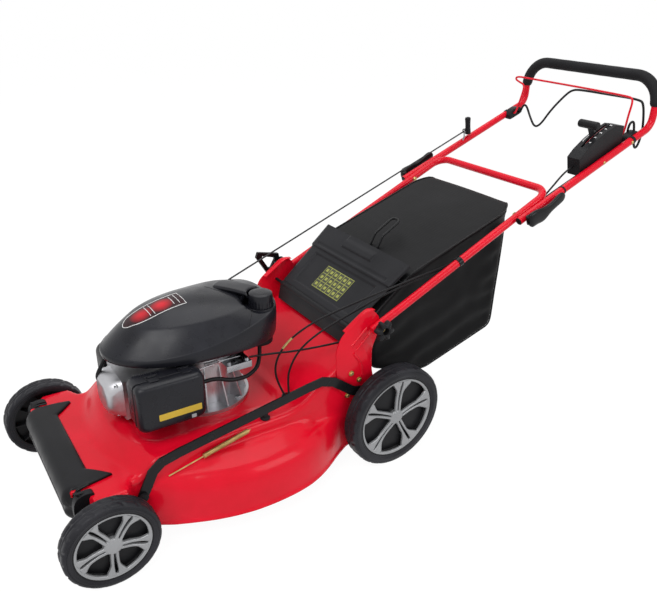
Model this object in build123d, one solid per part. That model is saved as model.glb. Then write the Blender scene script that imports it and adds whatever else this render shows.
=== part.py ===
from build123d import *
import math
import os

# Rear-discharge petrol lawn mower, self-propelled, with a rear grass bag.
# Frame: +X is the operator's left, -Y is forward, +Z is up, millimetres.
# All geometry is drawn with y measured from the front axle and is moved on export so that the
# origin lies on the ground under the middle of the whole machine.

# ------------------------------------------------------------------ driving dimensions (mm)
# wheels
FRONT_WHEEL_R = 101.5
REAR_WHEEL_R = 140.0
FRONT_COVER_R = 80.0
REAR_COVER_R = 111.0
FRONT_TYRE_W = 44.0
REAR_TYRE_W = 48.0
FRONT_FACE_X = 288.5
REAR_FACE_X = 274.5
WHEELBASE = 744.0
STUB_R = 6.0
HUB_R = 17.0
RUNNING_FIT = 0.1
# height adjustment
CRANK_ARM = 48.0
BAR_ARM_Y = 42.0
BAR_ARM_Z = 38.0
ARM_T = 6.0
BAR_T = 4.0
BAR_W = 24.0
BAR_PIN_R = 5.0
CRANK_ROD_R = 6.0
# deck
DECK_T = 3.0
DECK_BOTTOM_Z = 55.0
PLATEAU_Z = 214.0
PLATEAU_HALF_W = 204.0
CHUTE_TOP_Z = 352.0
CHUTE_END_Y = 690.0
APRON_Z = 184.0
APRON_FRONT_Y = -42.0
EAR_T = 4.0
# cutting gear
CRANK_Y = 325.0
CRANK_R = 12.5
BLADE_LENGTH = 510.0
BLADE_W = 58.0
BLADE_T = 4.0
BLADE_Z = 78.0
# engine
FLANGE_R = 116.0
FLANGE_T = 10.0
CASE_R = 78.0
CASE_TOP_Z = 338.0
FLYWHEEL_R = 92.0
FLYWHEEL_T = 26.0
COWL_T = 3.0
COWL_BOTTOM_Z = 376.0
COWL_TOP_Z = 497.0
# handle
TUBE_R = 10.5
TUBE_WALL = 1.5
LOWER_X = 219.3
UPPER_X = 240.6
HANDLE_PIVOT_Y = 700.0
HANDLE_PIVOT_Z = 395.0
LOWER_ANGLE = 25.0
CROSSBAR_Y = 1268.0
JOINT_Y = 1156.0
UPPER_ANGLE = 22.0
GRIP_Y = 1650.0
GRIP_Z = 940.0
GRIP_CORNER_R = 75.0
FOAM_R = 16.0
BAIL_Y = 1583.0
BAIL_PIVOT_X = 206.0
BOLT_R = 4.0
# flap and bag
FLAP_HINGE_Y = 656.0
FLAP_HINGE_Z = 376.0
FLAP_REAR_Y = 824.0
FLAP_REAR_Z = 512.0
FLAP_HALF_W = 170.0
FLAP_REAR_HALF_W = 186.0
FLAP_T = 4.0
BAG_HALF_W = 188.0
BAG_WALL = 3.0
BRACKET_X = 204.3
BRACKET_T = 4.2
# transmission
RING_TEETH = 60
PINION_TEETH = 12
GEAR_MODULE = 2.0
SHAFT_R = 7.0
BELT_Z = 168.0
ENGINE_PULLEY_R = 26.0
GEARBOX_PULLEY_R = 52.0

# ------------------------------------------------------------------ derived places
FRONT_AXLE = (0.0, FRONT_WHEEL_R)
REAR_AXLE = (WHEELBASE, REAR_WHEEL_R)
FRONT_PIVOT = (CRANK_ARM, FRONT_WHEEL_R)
REAR_PIVOT = (WHEELBASE + CRANK_ARM, REAR_WHEEL_R)
FRONT_INNER_X = FRONT_FACE_X - FRONT_TYRE_W
REAR_INNER_X = REAR_FACE_X - REAR_TYRE_W
ARM_X1 = REAR_INNER_X - 5.0
BAR_X = ARM_X1 - ARM_T - BAR_T - 0.6
LOWER_SLOPE = math.tan(math.radians(LOWER_ANGLE))
UPPER_SLOPE = math.tan(math.radians(UPPER_ANGLE))
JOINT_Z = HANDLE_PIVOT_Z + (JOINT_Y - HANDLE_PIVOT_Y) * LOWER_SLOPE
FRONT_END_Y = -FRONT_WHEEL_R
REAR_END_Y = GRIP_Y + FOAM_R
MIDDLE_Y = (FRONT_END_Y + REAR_END_Y) / 2


def lower_z(y):
    """Height of the lower handle's centre line at y."""
    return HANDLE_PIVOT_Z + (y - HANDLE_PIVOT_Y) * LOWER_SLOPE


def upper_z(y):
    """Height of the upper handle's centre line at y."""
    return JOINT_Z + (y - JOINT_Y) * UPPER_SLOPE


# ------------------------------------------------------------------ small tools
def rod(start, end, radius):
    """Solid cylinder between two points."""
    a, b = Vector(*start), Vector(*end)
    return Solid.make_cylinder(radius, (b - a).length, Plane(origin=a, z_dir=b - a))


def rod_x(x0, x1, y, z, radius):
    return rod((x0, y, z), (x1, y, z), radius)


def rod_z(x, y, z0, z1, radius):
    return rod((x, y, z0), (x, y, z1), radius)


def block(x0, x1, y0, y1, z0, z1):
    size = Box(x1 - x0, y1 - y0, z1 - z0, align=(Align.MIN, Align.MIN, Align.MIN))
    return Pos(x0, y0, z0) * size


def prism(points, direction):
    """Solid from a closed polygon of 3-D points, pushed along a direction."""
    face = Face(Wire.make_polygon([Vector(*p) for p in points], close=True))
    return Solid.extrude(face, Vector(*direction))


def prism_x(outline, x0, x1):
    """Solid from a (y, z) outline between two x planes."""
    return prism([(x0, y, z) for y, z in outline], (x1 - x0, 0, 0))


def prism_z(outline, z0, z1):
    """Solid from an (x, y) outline between two heights."""
    return prism([(x, y, z0) for x, y in outline], (0, 0, z1 - z0))


def turned_x(profile, x0, way, y, z):
    """Ring turned about an X axis through (y, z); the profile is (radius, distance along way)."""
    points = [Vector(x0 + way * a, y, z + r) for r, a in profile]
    face = Face(Wire.make_polygon(points, close=True))
    return Solid.revolve(face, 360, Axis((0, y, z), (1, 0, 0)))


def turned_z(profile, x, y):
    """Ring turned about a vertical axis through (x, y); the profile is (radius, z)."""
    face = Face(Wire.make_polygon([Vector(x + r, y, h) for r, h in profile], close=True))
    return Solid.revolve(face, 360, Axis((x, y, 0), (0, 0, 1)))


def swept(points, radius, bend):
    """Round bar along straight runs joined by tangent arcs."""
    path = FilletPolyline(*points, radius=bend)
    section = Plane(origin=path @ 0, z_dir=path % 0) * Circle(radius)
    return sweep(section, path=path)


def cord_bends(points):
    """Arc radius at each corner: 0.45 of the shorter run over the tangent of half the turn."""
    bends = []
    for before, here, after in zip(points, points[1:], points[2:]):
        a = Vector(*here) - Vector(*before)
        b = Vector(*after) - Vector(*here)
        half = math.radians(a.get_angle(b)) / 2
        bends.append(0.45 * min(a.length, b.length) / math.tan(half))
    return bends


def cord(points, radius, name):
    """Cable or hose along hand-chosen points; prints its length and bends."""
    bends = cord_bends(points)
    path = FilletPolyline(*points, radius=bends)
    section = Plane(origin=path @ 0, z_dir=path % 0) * Circle(radius)
    tube = sweep(section, path=path)
    expected = math.pi * radius**2 * path.length
    print(f"{name}: length {path.length:.0f}, bends {min(bends):.0f}-{max(bends):.0f},"
          f" volume ratio {tube.volume / expected:.4f}")
    return tube


def mirrored(shape):
    return shape.mirror(Plane.YZ)


def mirror_points(points):
    return [(-x, y, z) for x, y, z in reversed(points)]


PARTS = {}


def keep(name, *solids):
    """Store a node made of one or more separate solids."""
    found = []
    for item in solids:
        found += list(item.solids())
    PARTS[name] = found


# ------------------------------------------------------------------ wheels
COVER_DEPTH = 9.0
BARREL_T = 3.0
WEB_T = 5.0
WEB_FROM = 20.0
PAIRS = 5
SPOKE_PHASE_FRONT = 53.0
SPOKE_PHASE_REAR = 12.0
RING_GEAR_R = RING_TEETH * GEAR_MODULE / 2
PINION_GEAR_R = PINION_TEETH * GEAR_MODULE / 2
TOOTH_SHARE = 0.36


def make_tyre(wheel_r, cover_r, width, x0, way, y, z):
    seat = cover_r + BARREL_T
    shoulder = 7.0
    profile = [
        (seat, 2.0), (seat + 5.0, 0.0), (wheel_r - shoulder, 0.0), (wheel_r - 2.0, 2.5),
        (wheel_r, shoulder), (wheel_r, width - shoulder), (wheel_r - 2.0, width - 2.5),
        (wheel_r - shoulder, width), (seat + 5.0, width), (seat, width - 2.0),
    ]
    return turned_x(profile, x0, way, y, z)


def make_cover(cover_r, width, x0, way, y, z, phase):
    """Silver cover: outer ring, centre cap and pairs of spokes that flare at the ring."""
    back = x0 + way * (width - COVER_DEPTH)
    front = x0 + way * (width - 2.0)
    ring_w = 7.0
    cap_r = HUB_R + 5.0
    ring = turned_x([(cover_r - ring_w, width - COVER_DEPTH), (cover_r - ring_w, width - 4.0),
                     (cover_r - 2.0, width - 2.0), (cover_r, width - 2.0),
                     (cover_r, width - COVER_DEPTH)], x0, way, y, z)
    cap = turned_x([(0.0, width - 5.0), (0.0, width - 0.5), (cap_r - 3.0, width - 0.5),
                    (cap_r, width - 2.0), (cap_r, width - COVER_DEPTH - 6.0),
                    (HUB_R - 2.0, width - COVER_DEPTH - 6.0), (HUB_R - 2.0, width - 5.0)],
                   x0, way, y, z)
    inner = cap_r - 2.0
    outer = cover_r - ring_w + 1.5
    slot = 2.6
    foot = 9.0
    flare = outer * 0.30
    cover = ring + cap
    for k in range(PAIRS):
        turn = math.radians(phase + 360.0 / PAIRS * k)
        for side in (-1, 1):
            corners = [(inner, side * slot), (inner, side * foot), (outer * 0.62, side * foot * 1.05),
                       (outer, side * flare), (outer, side * slot * 1.5)]
            points = [(back, y + s * math.cos(turn) - t * math.sin(turn),
                       z + s * math.sin(turn) + t * math.cos(turn)) for s, t in corners]
            cover = cover + prism(points, (front - back - way * 1.0, 0, 0))
    return cover


def gear_outline(pitch_r, teeth, inward, phase):
    """Outline of a gear with plain tapered teeth; inward teeth belong to a ring gear."""
    add, ded = 0.9 * GEAR_MODULE, 1.15 * GEAR_MODULE
    tip = pitch_r - add if inward else pitch_r + add
    root = pitch_r + ded if inward else pitch_r - ded
    pitch = 2 * math.pi / teeth
    outline = []
    for k in range(teeth):
        mid = phase + k * pitch
        for share, radius in ((-0.62, root), (-0.34, tip), (0.34, tip), (0.62, root)):
            angle = mid + share * TOOTH_SHARE * pitch
            outline.append((radius * math.cos(angle), radius * math.sin(angle)))
    return outline


def make_core(cover_r, width, x0, way, y, z, geared):
    """Black moulded core: barrel, web and hub; the rear ones carry a ring gear inside."""
    out = cover_r + BARREL_T
    barrel = turned_x([(cover_r, 2.0), (out, 2.0), (out, width - 2.0), (cover_r, width - 2.0)],
                      x0, way, y, z)
    web = turned_x([(HUB_R - 4.0, WEB_FROM), (cover_r + 1.0, WEB_FROM),
                    (cover_r + 1.0, WEB_FROM + WEB_T), (HUB_R - 4.0, WEB_FROM + WEB_T)],
                   x0, way, y, z)
    bore = STUB_R + RUNNING_FIT
    hub = turned_x([(bore, -3.5), (HUB_R - 3.0, -3.5), (HUB_R - 3.0, WEB_FROM),
                    (HUB_R - 2.0, WEB_FROM + WEB_T), (HUB_R - 2.0, width - COVER_DEPTH - 6.0),
                    (bore, width - COVER_DEPTH - 6.0)], x0, way, y, z)
    core = barrel + web + hub
    if geared:
        blank_r = RING_GEAR_R + 6.0
        blank = turned_x([(0.0, 4.0), (blank_r, 4.0), (blank_r, WEB_FROM + 1.0),
                          (0.0, WEB_FROM + 1.0)], x0, way, y, z)
        outline = gear_outline(RING_GEAR_R, RING_TEETH, True, math.pi / RING_TEETH)
        teeth = prism([(x0 + way * 3.0, y + a, z + b) for a, b in outline],
                      (way * (WEB_FROM - 3.0), 0, 0))
        core = core + (blank - teeth)
        core = core - rod_x(x0 - way * 6.0, x0 + way * (width), y, z, bore)
    return core


def make_wheel(name, front, way):
    wheel_r = FRONT_WHEEL_R if front else REAR_WHEEL_R
    cover_r = FRONT_COVER_R if front else REAR_COVER_R
    width = FRONT_TYRE_W if front else REAR_TYRE_W
    face = FRONT_FACE_X if front else REAR_FACE_X
    y, z = FRONT_AXLE if front else REAR_AXLE
    phase = SPOKE_PHASE_FRONT if front else SPOKE_PHASE_REAR
    x0 = way * (face - width)
    keep(name + "_tyre", make_tyre(wheel_r, cover_r, width, x0, way, y, z))
    core = make_core(cover_r, width, x0, way, y, z, not front)
    cover = make_cover(cover_r, width, x0, way, y, z, phase)
    keep(name + "_wheel", core, cover)


# ------------------------------------------------------------------ height adjustment
def stub(face, width, way, y, z, x_from):
    """Wheel spindle with its retaining nut."""
    end = way * (face - COVER_DEPTH - 5.0)
    spindle = rod_x(way * x_from, end, y, z, STUB_R)
    nut = rod_x(end - way * 0.2, end + way * 4.0, y, z, STUB_R + 4.0)
    return spindle + nut


def arm(x0, x1, centres, radius):
    """Flat arm through a list of (y, z) centres."""
    plate = None
    for (y0, z0), (y1, z1) in zip(centres, centres[1:]):
        length = math.hypot(y1 - y0, z1 - z0)
        ny, nz = -(z1 - z0) / length * radius, (y1 - y0) / length * radius
        link = prism_x([(y0 + ny, z0 + nz), (y1 + ny, z1 + nz), (y1 - ny, z1 - nz),
                        (y0 - ny, z0 - nz)], x0, x1)
        piece = link + rod_x(x0, x1, y0, z0, radius) + rod_x(x0, x1, y1, z1, radius)
        plate = piece if plate is None else plate + piece
    return plate


def make_front_axle():
    py, pz = FRONT_PIVOT
    ay, az = FRONT_AXLE
    x1 = ARM_X1
    x0 = x1 - ARM_T
    body = rod_x(-x0, x0, py, pz, CRANK_ROD_R)
    for way in (-1, 1):
        plate = arm(way * x0, way * x1, [(py, pz), (ay, az)], 11.0)
        body = body + plate + stub(FRONT_FACE_X, FRONT_TYRE_W, way, ay, az, x0)
        body = body + rod_x(way * (x1 - 1), way * (FRONT_INNER_X - 4.5), ay, az, STUB_R + 4.0)
    body = body + arm(x0, x1, [(py, pz), (py + BAR_ARM_Y, pz + BAR_ARM_Z)], 10.0)
    body = body + rod_x(BAR_X - 1.0, x0 + 1.0, py + BAR_ARM_Y, pz + BAR_ARM_Z, BAR_PIN_R)
    keep("front_axle", body)


TIE_Y = 30.0
TIE_Z = -34.0


def make_rear_axle():
    py, pz = REAR_PIVOT
    ay, az = REAR_AXLE
    x1 = ARM_X1
    x0 = x1 - ARM_T
    body = rod_x(-x0 - 1.0, x0 + 1.0, py + TIE_Y, pz + TIE_Z, CRANK_ROD_R)
    for way in (-1, 1):
        plate = arm(way * x0, way * x1, [(ay, az), (py, pz), (py + TIE_Y, pz + TIE_Z)], 14.0)
        body = body + plate + stub(REAR_FACE_X, REAR_TYRE_W, way, ay, az, x0)
    body = body + arm(x0, x1, [(py, pz), (py + BAR_ARM_Y, pz + BAR_ARM_Z)], 10.0)
    body = body + rod_x(BAR_X - 1.0, x0 + 1.0, py + BAR_ARM_Y, pz + BAR_ARM_Z, BAR_PIN_R)
    body = body - rod_x(-x1 - 1.0, x1 + 1.0, py, pz, SHAFT_R + RUNNING_FIT)
    keep("rear_axle", body)


LEVER_OUT_X = 267.0
LEVER_T = 5.0
LEVER_FOOT_T = 4.6
LEVER_TOP = (664.0, 412.0)
LEVER_KNEE = (716.0, 304.0)


def make_height_lever():
    """Far-side lever: up from the rear arm, out over the tyre, up again to a triangular loop."""
    py, pz = REAR_PIVOT
    ty, tz = LEVER_TOP
    x1 = -(ARM_X1 - ARM_T)
    x0 = x1 + LEVER_FOOT_T
    out1 = -LEVER_OUT_X
    out0 = out1 - LEVER_T
    foot = (py - 16.0, pz + 10.0)
    low = arm(x1, x0, [foot, LEVER_KNEE], 9.0)
    cross = rod_x(out0, x0, LEVER_KNEE[0], LEVER_KNEE[1], 8.0)
    high = arm(out0, out1, [LEVER_KNEE, (ty + 8.0, tz - 36.0)], 8.0)
    outer = [(ty + 18, tz - 44), (ty - 4, tz - 44), (ty - 40, tz + 12), (ty - 34, tz + 28),
             (ty + 34, tz + 14), (ty + 38, tz - 4)]
    inner = [(ty + 8, tz - 26), (ty + 0, tz - 26), (ty - 22, tz + 8), (ty - 20, tz + 14),
             (ty + 18, tz + 4), (ty + 21, tz - 3)]
    loop = prism_x(outer, out0 - 2.0, out1 + 2.0) - prism_x(inner, out0 - 9.0, out1 + 9.0)
    keep("height_lever", low + cross + high + loop)


BAR_ROUTE = [(116.0, 193.0), (138.0, 211.0), (179.0, 220.5), (503.0, 276.0), (546.0, 281.5),
             (580.0, 270.0), (640.0, 225.0)]


def make_linkage_bar():
    """Flat strip bent edgewise that joins the front and rear cranks."""
    front = (FRONT_PIVOT[0] + BAR_ARM_Y, FRONT_PIVOT[1] + BAR_ARM_Z)
    rear = (REAR_PIVOT[0] + BAR_ARM_Y, REAR_PIVOT[1] + BAR_ARM_Z)
    route = [front] + BAR_ROUTE + [rear]
    x0, x1 = BAR_X, BAR_X + BAR_T
    bar = arm(x0, x1, route, BAR_W / 2)
    for y, z in (front, rear):
        bar = bar - rod_x(x0 - 1, x1 + 1, y, z, BAR_PIN_R + RUNNING_FIT)
    keep("linkage_bar", bar)


def make_lift_spring():
    """Tension spring that carries part of the deck's weight, as a sleeve of its outer size."""
    start = (BAR_X + 2.0, 150.0, 168.0)
    end = (BAR_X + 2.0, 344.0, 214.0)
    middle = (BAR_X + 2.0, 232.0, 187.5)
    sleeve = rod(middle, end, 6.5)
    thin = rod(start, middle, 3.0)
    hook = rod_x(PLATEAU_HALF_W + 0.3, BAR_X + 2.0, 342.0, 208.5, 2.0)
    keep("lift_spring", sleeve + thin + hook)


# ------------------------------------------------------------------ deck
SKIRT = [(150.0, 62.0), (200.0, 108.0), (254.0, 190.0), (284.0, 280.0), (294.0, 370.0),
         (287.0, 462.0), (258.0, 530.0), (224.0, 585.0), (199.0, 640.0)]
SKIRT_LEVELS = [(DECK_BOTTOM_Z, 0.0), (90.0, 2.0), (120.0, 6.0), (142.0, 14.0), (160.0, 30.0),
                (172.0, 54.0)]
SKIRT_REAR_Y = 655.0
TAIL_SEAM_Y = 588.0
SHELF_Z = SKIRT_LEVELS[-1][0]
DECK_HOLE_R = 62.0
BELT_SLOT_HALF = 58.0
GROMMET = (147.0, 485.0, 229.0)
GROMMET_R = 9.0


def skirt_section(z, inset):
    """Closed outline of the cutting chamber at one height, moved inwards by inset."""
    side = []
    for k, (x, y) in enumerate(SKIRT):
        ax, ay = SKIRT[max(k - 1, 0)]
        bx, by = SKIRT[min(k + 1, len(SKIRT) - 1)]
        length = math.hypot(bx - ax, by - ay)
        nx, ny = -(by - ay) / length, (bx - ax) / length
        side.append(Vector(x + nx * inset, y + ny * inset, z))
    other = [Vector(-p.X, p.Y, p.Z) for p in reversed(side)]
    edges = [Edge.make_line(other[-1], side[0]), Edge.make_spline(side),
             Edge.make_line(side[-1], other[0]), Edge.make_spline(other)]
    return Wire(edges)


def chamber(grow):
    """Bulging cutting chamber; grow is 0 for the outside and the wall for the inside."""
    sections = []
    for z, inset in SKIRT_LEVELS:
        low = z - (1.0 if grow and z == DECK_BOTTOM_Z else 0.0)
        drop = grow if z > DECK_BOTTOM_Z else 0.0
        sections.append(skirt_section(low - drop * 0.6, inset + grow))
    return Solid.make_loft(sections, ruled=False)


def upper_body(grow):
    """Engine plateau with a sloping front, and the chute that climbs to the rear mouth."""
    half = PLATEAU_HALF_W - grow
    top = PLATEAU_Z - grow
    front = 64.0 + grow
    slope_start = 462.0 + grow * 0.3
    end = CHUTE_END_Y + (2.0 if grow else 0.0)
    low = 100.0 if not grow else 60.0
    outline = [(front, low), (front, 158.0), (front + 14.0, top - 12.0), (front + 32.0, top),
               (slope_start, top), (FLAP_HINGE_Y - 10.0, CHUTE_TOP_Z - 22.0 - grow),
               (end, CHUTE_TOP_Z - 22.0 - grow), (end, 176.0 + grow),
               (SKIRT_REAR_Y - 15.0 - grow, 120.0), (SKIRT_REAR_Y - 15.0 - grow, low)]
    body = prism_x(outline, -half, half)
    front_corners = [e for e in body.edges().filter_by(Axis.Z) if e.center().Y < front + 5]
    return body.fillet(58.0 - grow, front_corners)


def make_deck():
    shell = chamber(0.0) + upper_body(0.0)
    shell = shell - chamber(DECK_T) - upper_body(DECK_T)
    # flat floor of the mouth between the chamber and the rear opening
    apron_half = PLATEAU_HALF_W - 2.0
    apron = block(-apron_half, apron_half, APRON_FRONT_Y, 84.0, APRON_Z - DECK_T, APRON_Z)
    lip = block(-apron_half, apron_half, APRON_FRONT_Y, APRON_FRONT_Y + DECK_T,
                APRON_Z - 30.0, APRON_Z)
    shell = shell + (apron + lip - upper_body(0.0))
    py, pz = FRONT_PIVOT
    for way in (-1, 1):
        inner = way * (apron_half - EAR_T)
        outer = way * apron_half
        ear = prism_x([(py - 60, APRON_Z), (py - 22, pz - 14), (py + 22, pz - 14),
                       (py + 36, APRON_Z - 20), (py + 36, APRON_Z)], inner, outer)
        shell = shell + ear
    shell = shell - rod_x(-apron_half - 5, apron_half + 5, py, pz, CRANK_ROD_R + RUNNING_FIT)
    # hole for the crankshaft and the belt
    shell = shell - rod_z(0, CRANK_Y, PLATEAU_Z - 10, PLATEAU_Z + 10, DECK_HOLE_R)
    slot = block(-BELT_SLOT_HALF, BELT_SLOT_HALF, SKIRT_REAR_Y - 20, CHUTE_END_Y + 5,
                 BELT_Z - 8, BELT_Z + 9)
    shell = shell - slot
    gx, gy, gz = GROMMET
    shell = shell - rod_z(gx, gy, gz - 20, gz + 20, GROMMET_R)
    keep("deck_shell", *deck_pressings(shell))


def deck_pressings(shell):
    """The deck's pressings: body above the shelf with the apron, chamber, and its narrow tail."""
    half = PLATEAU_HALF_W + 2.0
    above = block(-half, half, SKIRT[0][1] - 1.0, CHUTE_END_Y + 5, SHELF_Z, CHUTE_TOP_Z)
    front = block(-half, half, APRON_FRONT_Y - 1, SKIRT[0][1] - 0.5, 40, CHUTE_TOP_Z)
    zone = above + front
    for way in (-1, 1):
        edges = sorted((way * (PLATEAU_HALF_W - 2.0 - EAR_T), way * half))
        zone = zone + block(*edges, APRON_FRONT_Y, FRONT_PIVOT[0] + 38.0, 40, APRON_Z)
    lower = shell - zone
    tail = block(-FRONT_FACE_X, FRONT_FACE_X, TAIL_SEAM_Y, CHUTE_END_Y + 5, 40, CHUTE_TOP_Z)
    return shell.intersect(zone), lower - tail, lower.intersect(tail)


def make_front_bumper():
    """Plastic bumper that wraps the apron, with two arms back over it and a slot opening."""
    half = PLATEAU_HALF_W - 2.0
    y0 = APRON_FRONT_Y - 14.0
    top = APRON_Z + 5.0
    outline = [(y0 + 9, top), (APRON_FRONT_Y + 46, top), (APRON_FRONT_Y + 46, APRON_Z),
               (APRON_FRONT_Y, APRON_Z), (APRON_FRONT_Y, APRON_Z - 30), (APRON_FRONT_Y, 118),
               (y0 + 4, 112), (y0, 132), (y0, top - 14)]
    shell = prism_x(outline, -half + 14, half - 14)
    slot = block(-half + 44, half - 44, y0 - 2, APRON_FRONT_Y + 2, 128, 143)
    shell = shell - slot
    for way in (-1, 1):
        x0 = way * (half - 14)
        x1 = way * (half - 62)
        reach = prism([(x0, APRON_FRONT_Y + 40, APRON_Z), (x1, APRON_FRONT_Y + 40, APRON_Z),
                       (way * (half - 36), 56.0, APRON_Z), (way * (half - 20), 56.0, APRON_Z)],
                      (0, 0, top - APRON_Z))
        shell = shell + reach
        cheek = block(min(x0, way * half), max(x0, way * half), y0 + 10, APRON_FRONT_Y - 0.3, 130,
                      top - 6)
        shell = shell + cheek
    keep("front_bumper", shell)


# ------------------------------------------------------------------ engine
CYL_Z = 284.0
BORE_R = 34.0
HEAD_Y = 118.0
BLOCK_HALF_W = 55.0
BLOCK_HALF_H = 50.0
FIN_GAP = 7.0
THROW = 24.0
JOURNAL_FIT = 0.1
CARB_Y = 182.0
CARB_Z = 308.0
PLUG_X = -28.0
PLUG_Z = 306.0
PLUG_BOSS_R = 11.0


def make_crankcase():
    """Aluminium crankcase with its mounting flange and the finned cylinder facing forward."""
    flange = rod_z(0, CRANK_Y, PLATEAU_Z, PLATEAU_Z + FLANGE_T, FLANGE_R)
    case = rod_z(0, CRANK_Y, PLATEAU_Z + FLANGE_T - 1, CASE_TOP_Z, CASE_R)
    cylinder = block(-BLOCK_HALF_W, BLOCK_HALF_W, HEAD_Y, CRANK_Y - 20,
                     CYL_Z - BLOCK_HALF_H, CYL_Z + BLOCK_HALF_H)
    body = flange + case + cylinder
    cavity = rod_z(0, CRANK_Y, PLATEAU_Z + 14, CASE_TOP_Z - 8, CASE_R - 7)
    bore = rod((0, HEAD_Y - 1, CYL_Z), (0, CRANK_Y, CYL_Z), BORE_R)
    shaft = rod_z(0, CRANK_Y, PLATEAU_Z - 1, CASE_TOP_Z + 1, CRANK_R + JOURNAL_FIT)
    body = body - cavity - bore - shaft
    fins = 8
    for k in range(fins):
        y = HEAD_Y + 10.0 + k * (FIN_GAP + 3.0)
        for way in (-1, 1):
            x0, x1 = way * (BORE_R + 9.0), way * (BLOCK_HALF_W + 1.0)
            body = body - block(min(x0, x1), max(x0, x1), y, y + FIN_GAP,
                                CYL_Z - BLOCK_HALF_H - 1, CYL_Z - 22)
    plug_hole = rod((PLUG_X, HEAD_Y - 1, PLUG_Z), (PLUG_X, HEAD_Y + 4, PLUG_Z), 7.0)
    dip = rod_z(DIPSTICK[0], DIPSTICK[1], PLATEAU_Z + 2, PLATEAU_Z + FLANGE_T + 1, 9.0)
    keep("crankcase", body - plug_hole - dip)


DIPSTICK = (-92.0, 372.0)


def make_dipstick():
    """Oil filler cap with its blade, screwed into a short tube on the flange."""
    x, y = DIPSTICK
    z = PLATEAU_Z + FLANGE_T
    cap = rod_z(x, y, z + 0.4, z + 16, 15.0)
    grip = block(x - 4, x + 4, y - 13, y + 13, z + 15, z + 26)
    neck = rod_z(x, y, z - 7.0, z + 1, 8.6)
    keep("oil_filler_cap", cap + grip + neck)


def make_head_cover():
    body = block(-52, 60, 74, HEAD_Y, CYL_Z - 48, CYL_Z + 52)
    corners = [e for e in body.edges().filter_by(Axis.Y)]
    body = body.fillet(16, corners)
    front = [e for e in body.edges() if e.center().Y < 74.5]
    body = body.fillet(9, front)
    hollow = block(-40, 48, 84, HEAD_Y + 1, CYL_Z - 36, CYL_Z + 40)
    body = body - (hollow - rod((PLUG_X, 70, PLUG_Z), (PLUG_X, HEAD_Y, PLUG_Z),
                              PLUG_BOSS_R))
    body = body - rod((PLUG_X, 70, PLUG_Z), (PLUG_X, HEAD_Y + 1, PLUG_Z), 7.0)
    keep("cylinder_head_cover", body)


def make_spark_plug():
    shank = rod((PLUG_X, 73, PLUG_Z), (PLUG_X, HEAD_Y + 3, PLUG_Z), 6.8)
    seat = rod((PLUG_X, 62, PLUG_Z), (PLUG_X, 73.9, PLUG_Z), 10)
    boot = rod((PLUG_X, 38, PLUG_Z), (PLUG_X, 63, PLUG_Z), 11)
    tip = rod((PLUG_X, 32, PLUG_Z), (PLUG_X, 39, PLUG_Z), 8)
    keep("spark_plug", shank + seat + boot + tip)


def make_muffler():
    body = block(-146, -64, 132, 216, CYL_Z - 42, CYL_Z + 42)
    body = body.fillet(12, list(body.edges()))
    pipe = rod_x(-66, -BLOCK_HALF_W, 174, CYL_Z, 13)
    outlet = rod((-120, 130, CYL_Z - 20), (-120, 140, CYL_Z - 20), 8)
    keep("muffler", body + pipe + outlet)


def make_exhaust_guard():
    """Black guard round the exhaust, bolted to the cylinder's far side."""
    z0, z1 = CYL_Z - 50, CYL_Z + 86
    skin = block(-158, -72, 108, 240, z0, z1)
    uprights = [e for e in skin.edges().filter_by(Axis.Z) if e.center().Y < 120]
    skin = skin.fillet(24, uprights)
    inside = block(-154, -60, 112, 241, z0 - 1, z1 + 1)
    uprights = [e for e in inside.edges().filter_by(Axis.Z) if e.center().Y < 120
                and e.center().X < -100]
    inside = inside.fillet(20, uprights)
    shell = skin - inside
    for k in range(5):
        z = z0 + 14 + k * 15
        shell = shell - block(-160, -152, 140, 214, z, z + 6)
    tab = block(-154.5, -BLOCK_HALF_W, 232, 240, z0, z0 + 8)
    keep("exhaust_guard", shell + tab)


COWL_LEVELS = [(COWL_BOTTOM_Z, 139.0, 225.0, 190.0), (402.0, 138.0, 228.0, 189.0),
               (436.0, 128.0, 205.0, 180.0), (468.0, 98.0, 162.0, 150.0),
               (488.0, 62.0, 112.0, 108.0), (COWL_TOP_Z, 26.0, 50.0, 52.0)]
COWL_Y = 320.0
TANK_Z0 = 350.0
TANK_Z1 = 408.0
LEG_X = 46.0
LEG_Y = 200.0
LEG_R = 5.0
RECOIL_R = 30.0
RECOIL_Z = 392.0
RECOIL_PIN_R = 8.0


def cowl_section(z, half_w, front, rear, inset):
    """Egg-shaped section: elliptical nose forward, squarer tail."""
    points = []
    count = 24
    a = half_w - inset
    for k in range(count):
        turn = 2 * math.pi * k / count
        c, s = math.cos(turn), math.sin(turn)
        if s < 0:
            x, y = a * c, (front - inset) * s
        else:
            x = a * math.copysign(abs(c) ** 0.62, c)
            y = (rear - inset) * s ** 0.62
        points.append(Vector(x, COWL_Y + y, z))
    return Wire([Edge.make_spline(points, periodic=True)])


def cowl_body(inset):
    sections = []
    for k, (z, half_w, front, rear) in enumerate(COWL_LEVELS):
        low = z - (inset if k > 1 else 0.0) - (2.0 if inset and k == 0 else 0.0)
        sections.append(cowl_section(low, half_w, front, rear, inset))
    return Solid.make_loft(sections, ruled=False)


CAP_X = 76.0
CAP_Y = 456.0
CAP_R = 29.0


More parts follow.
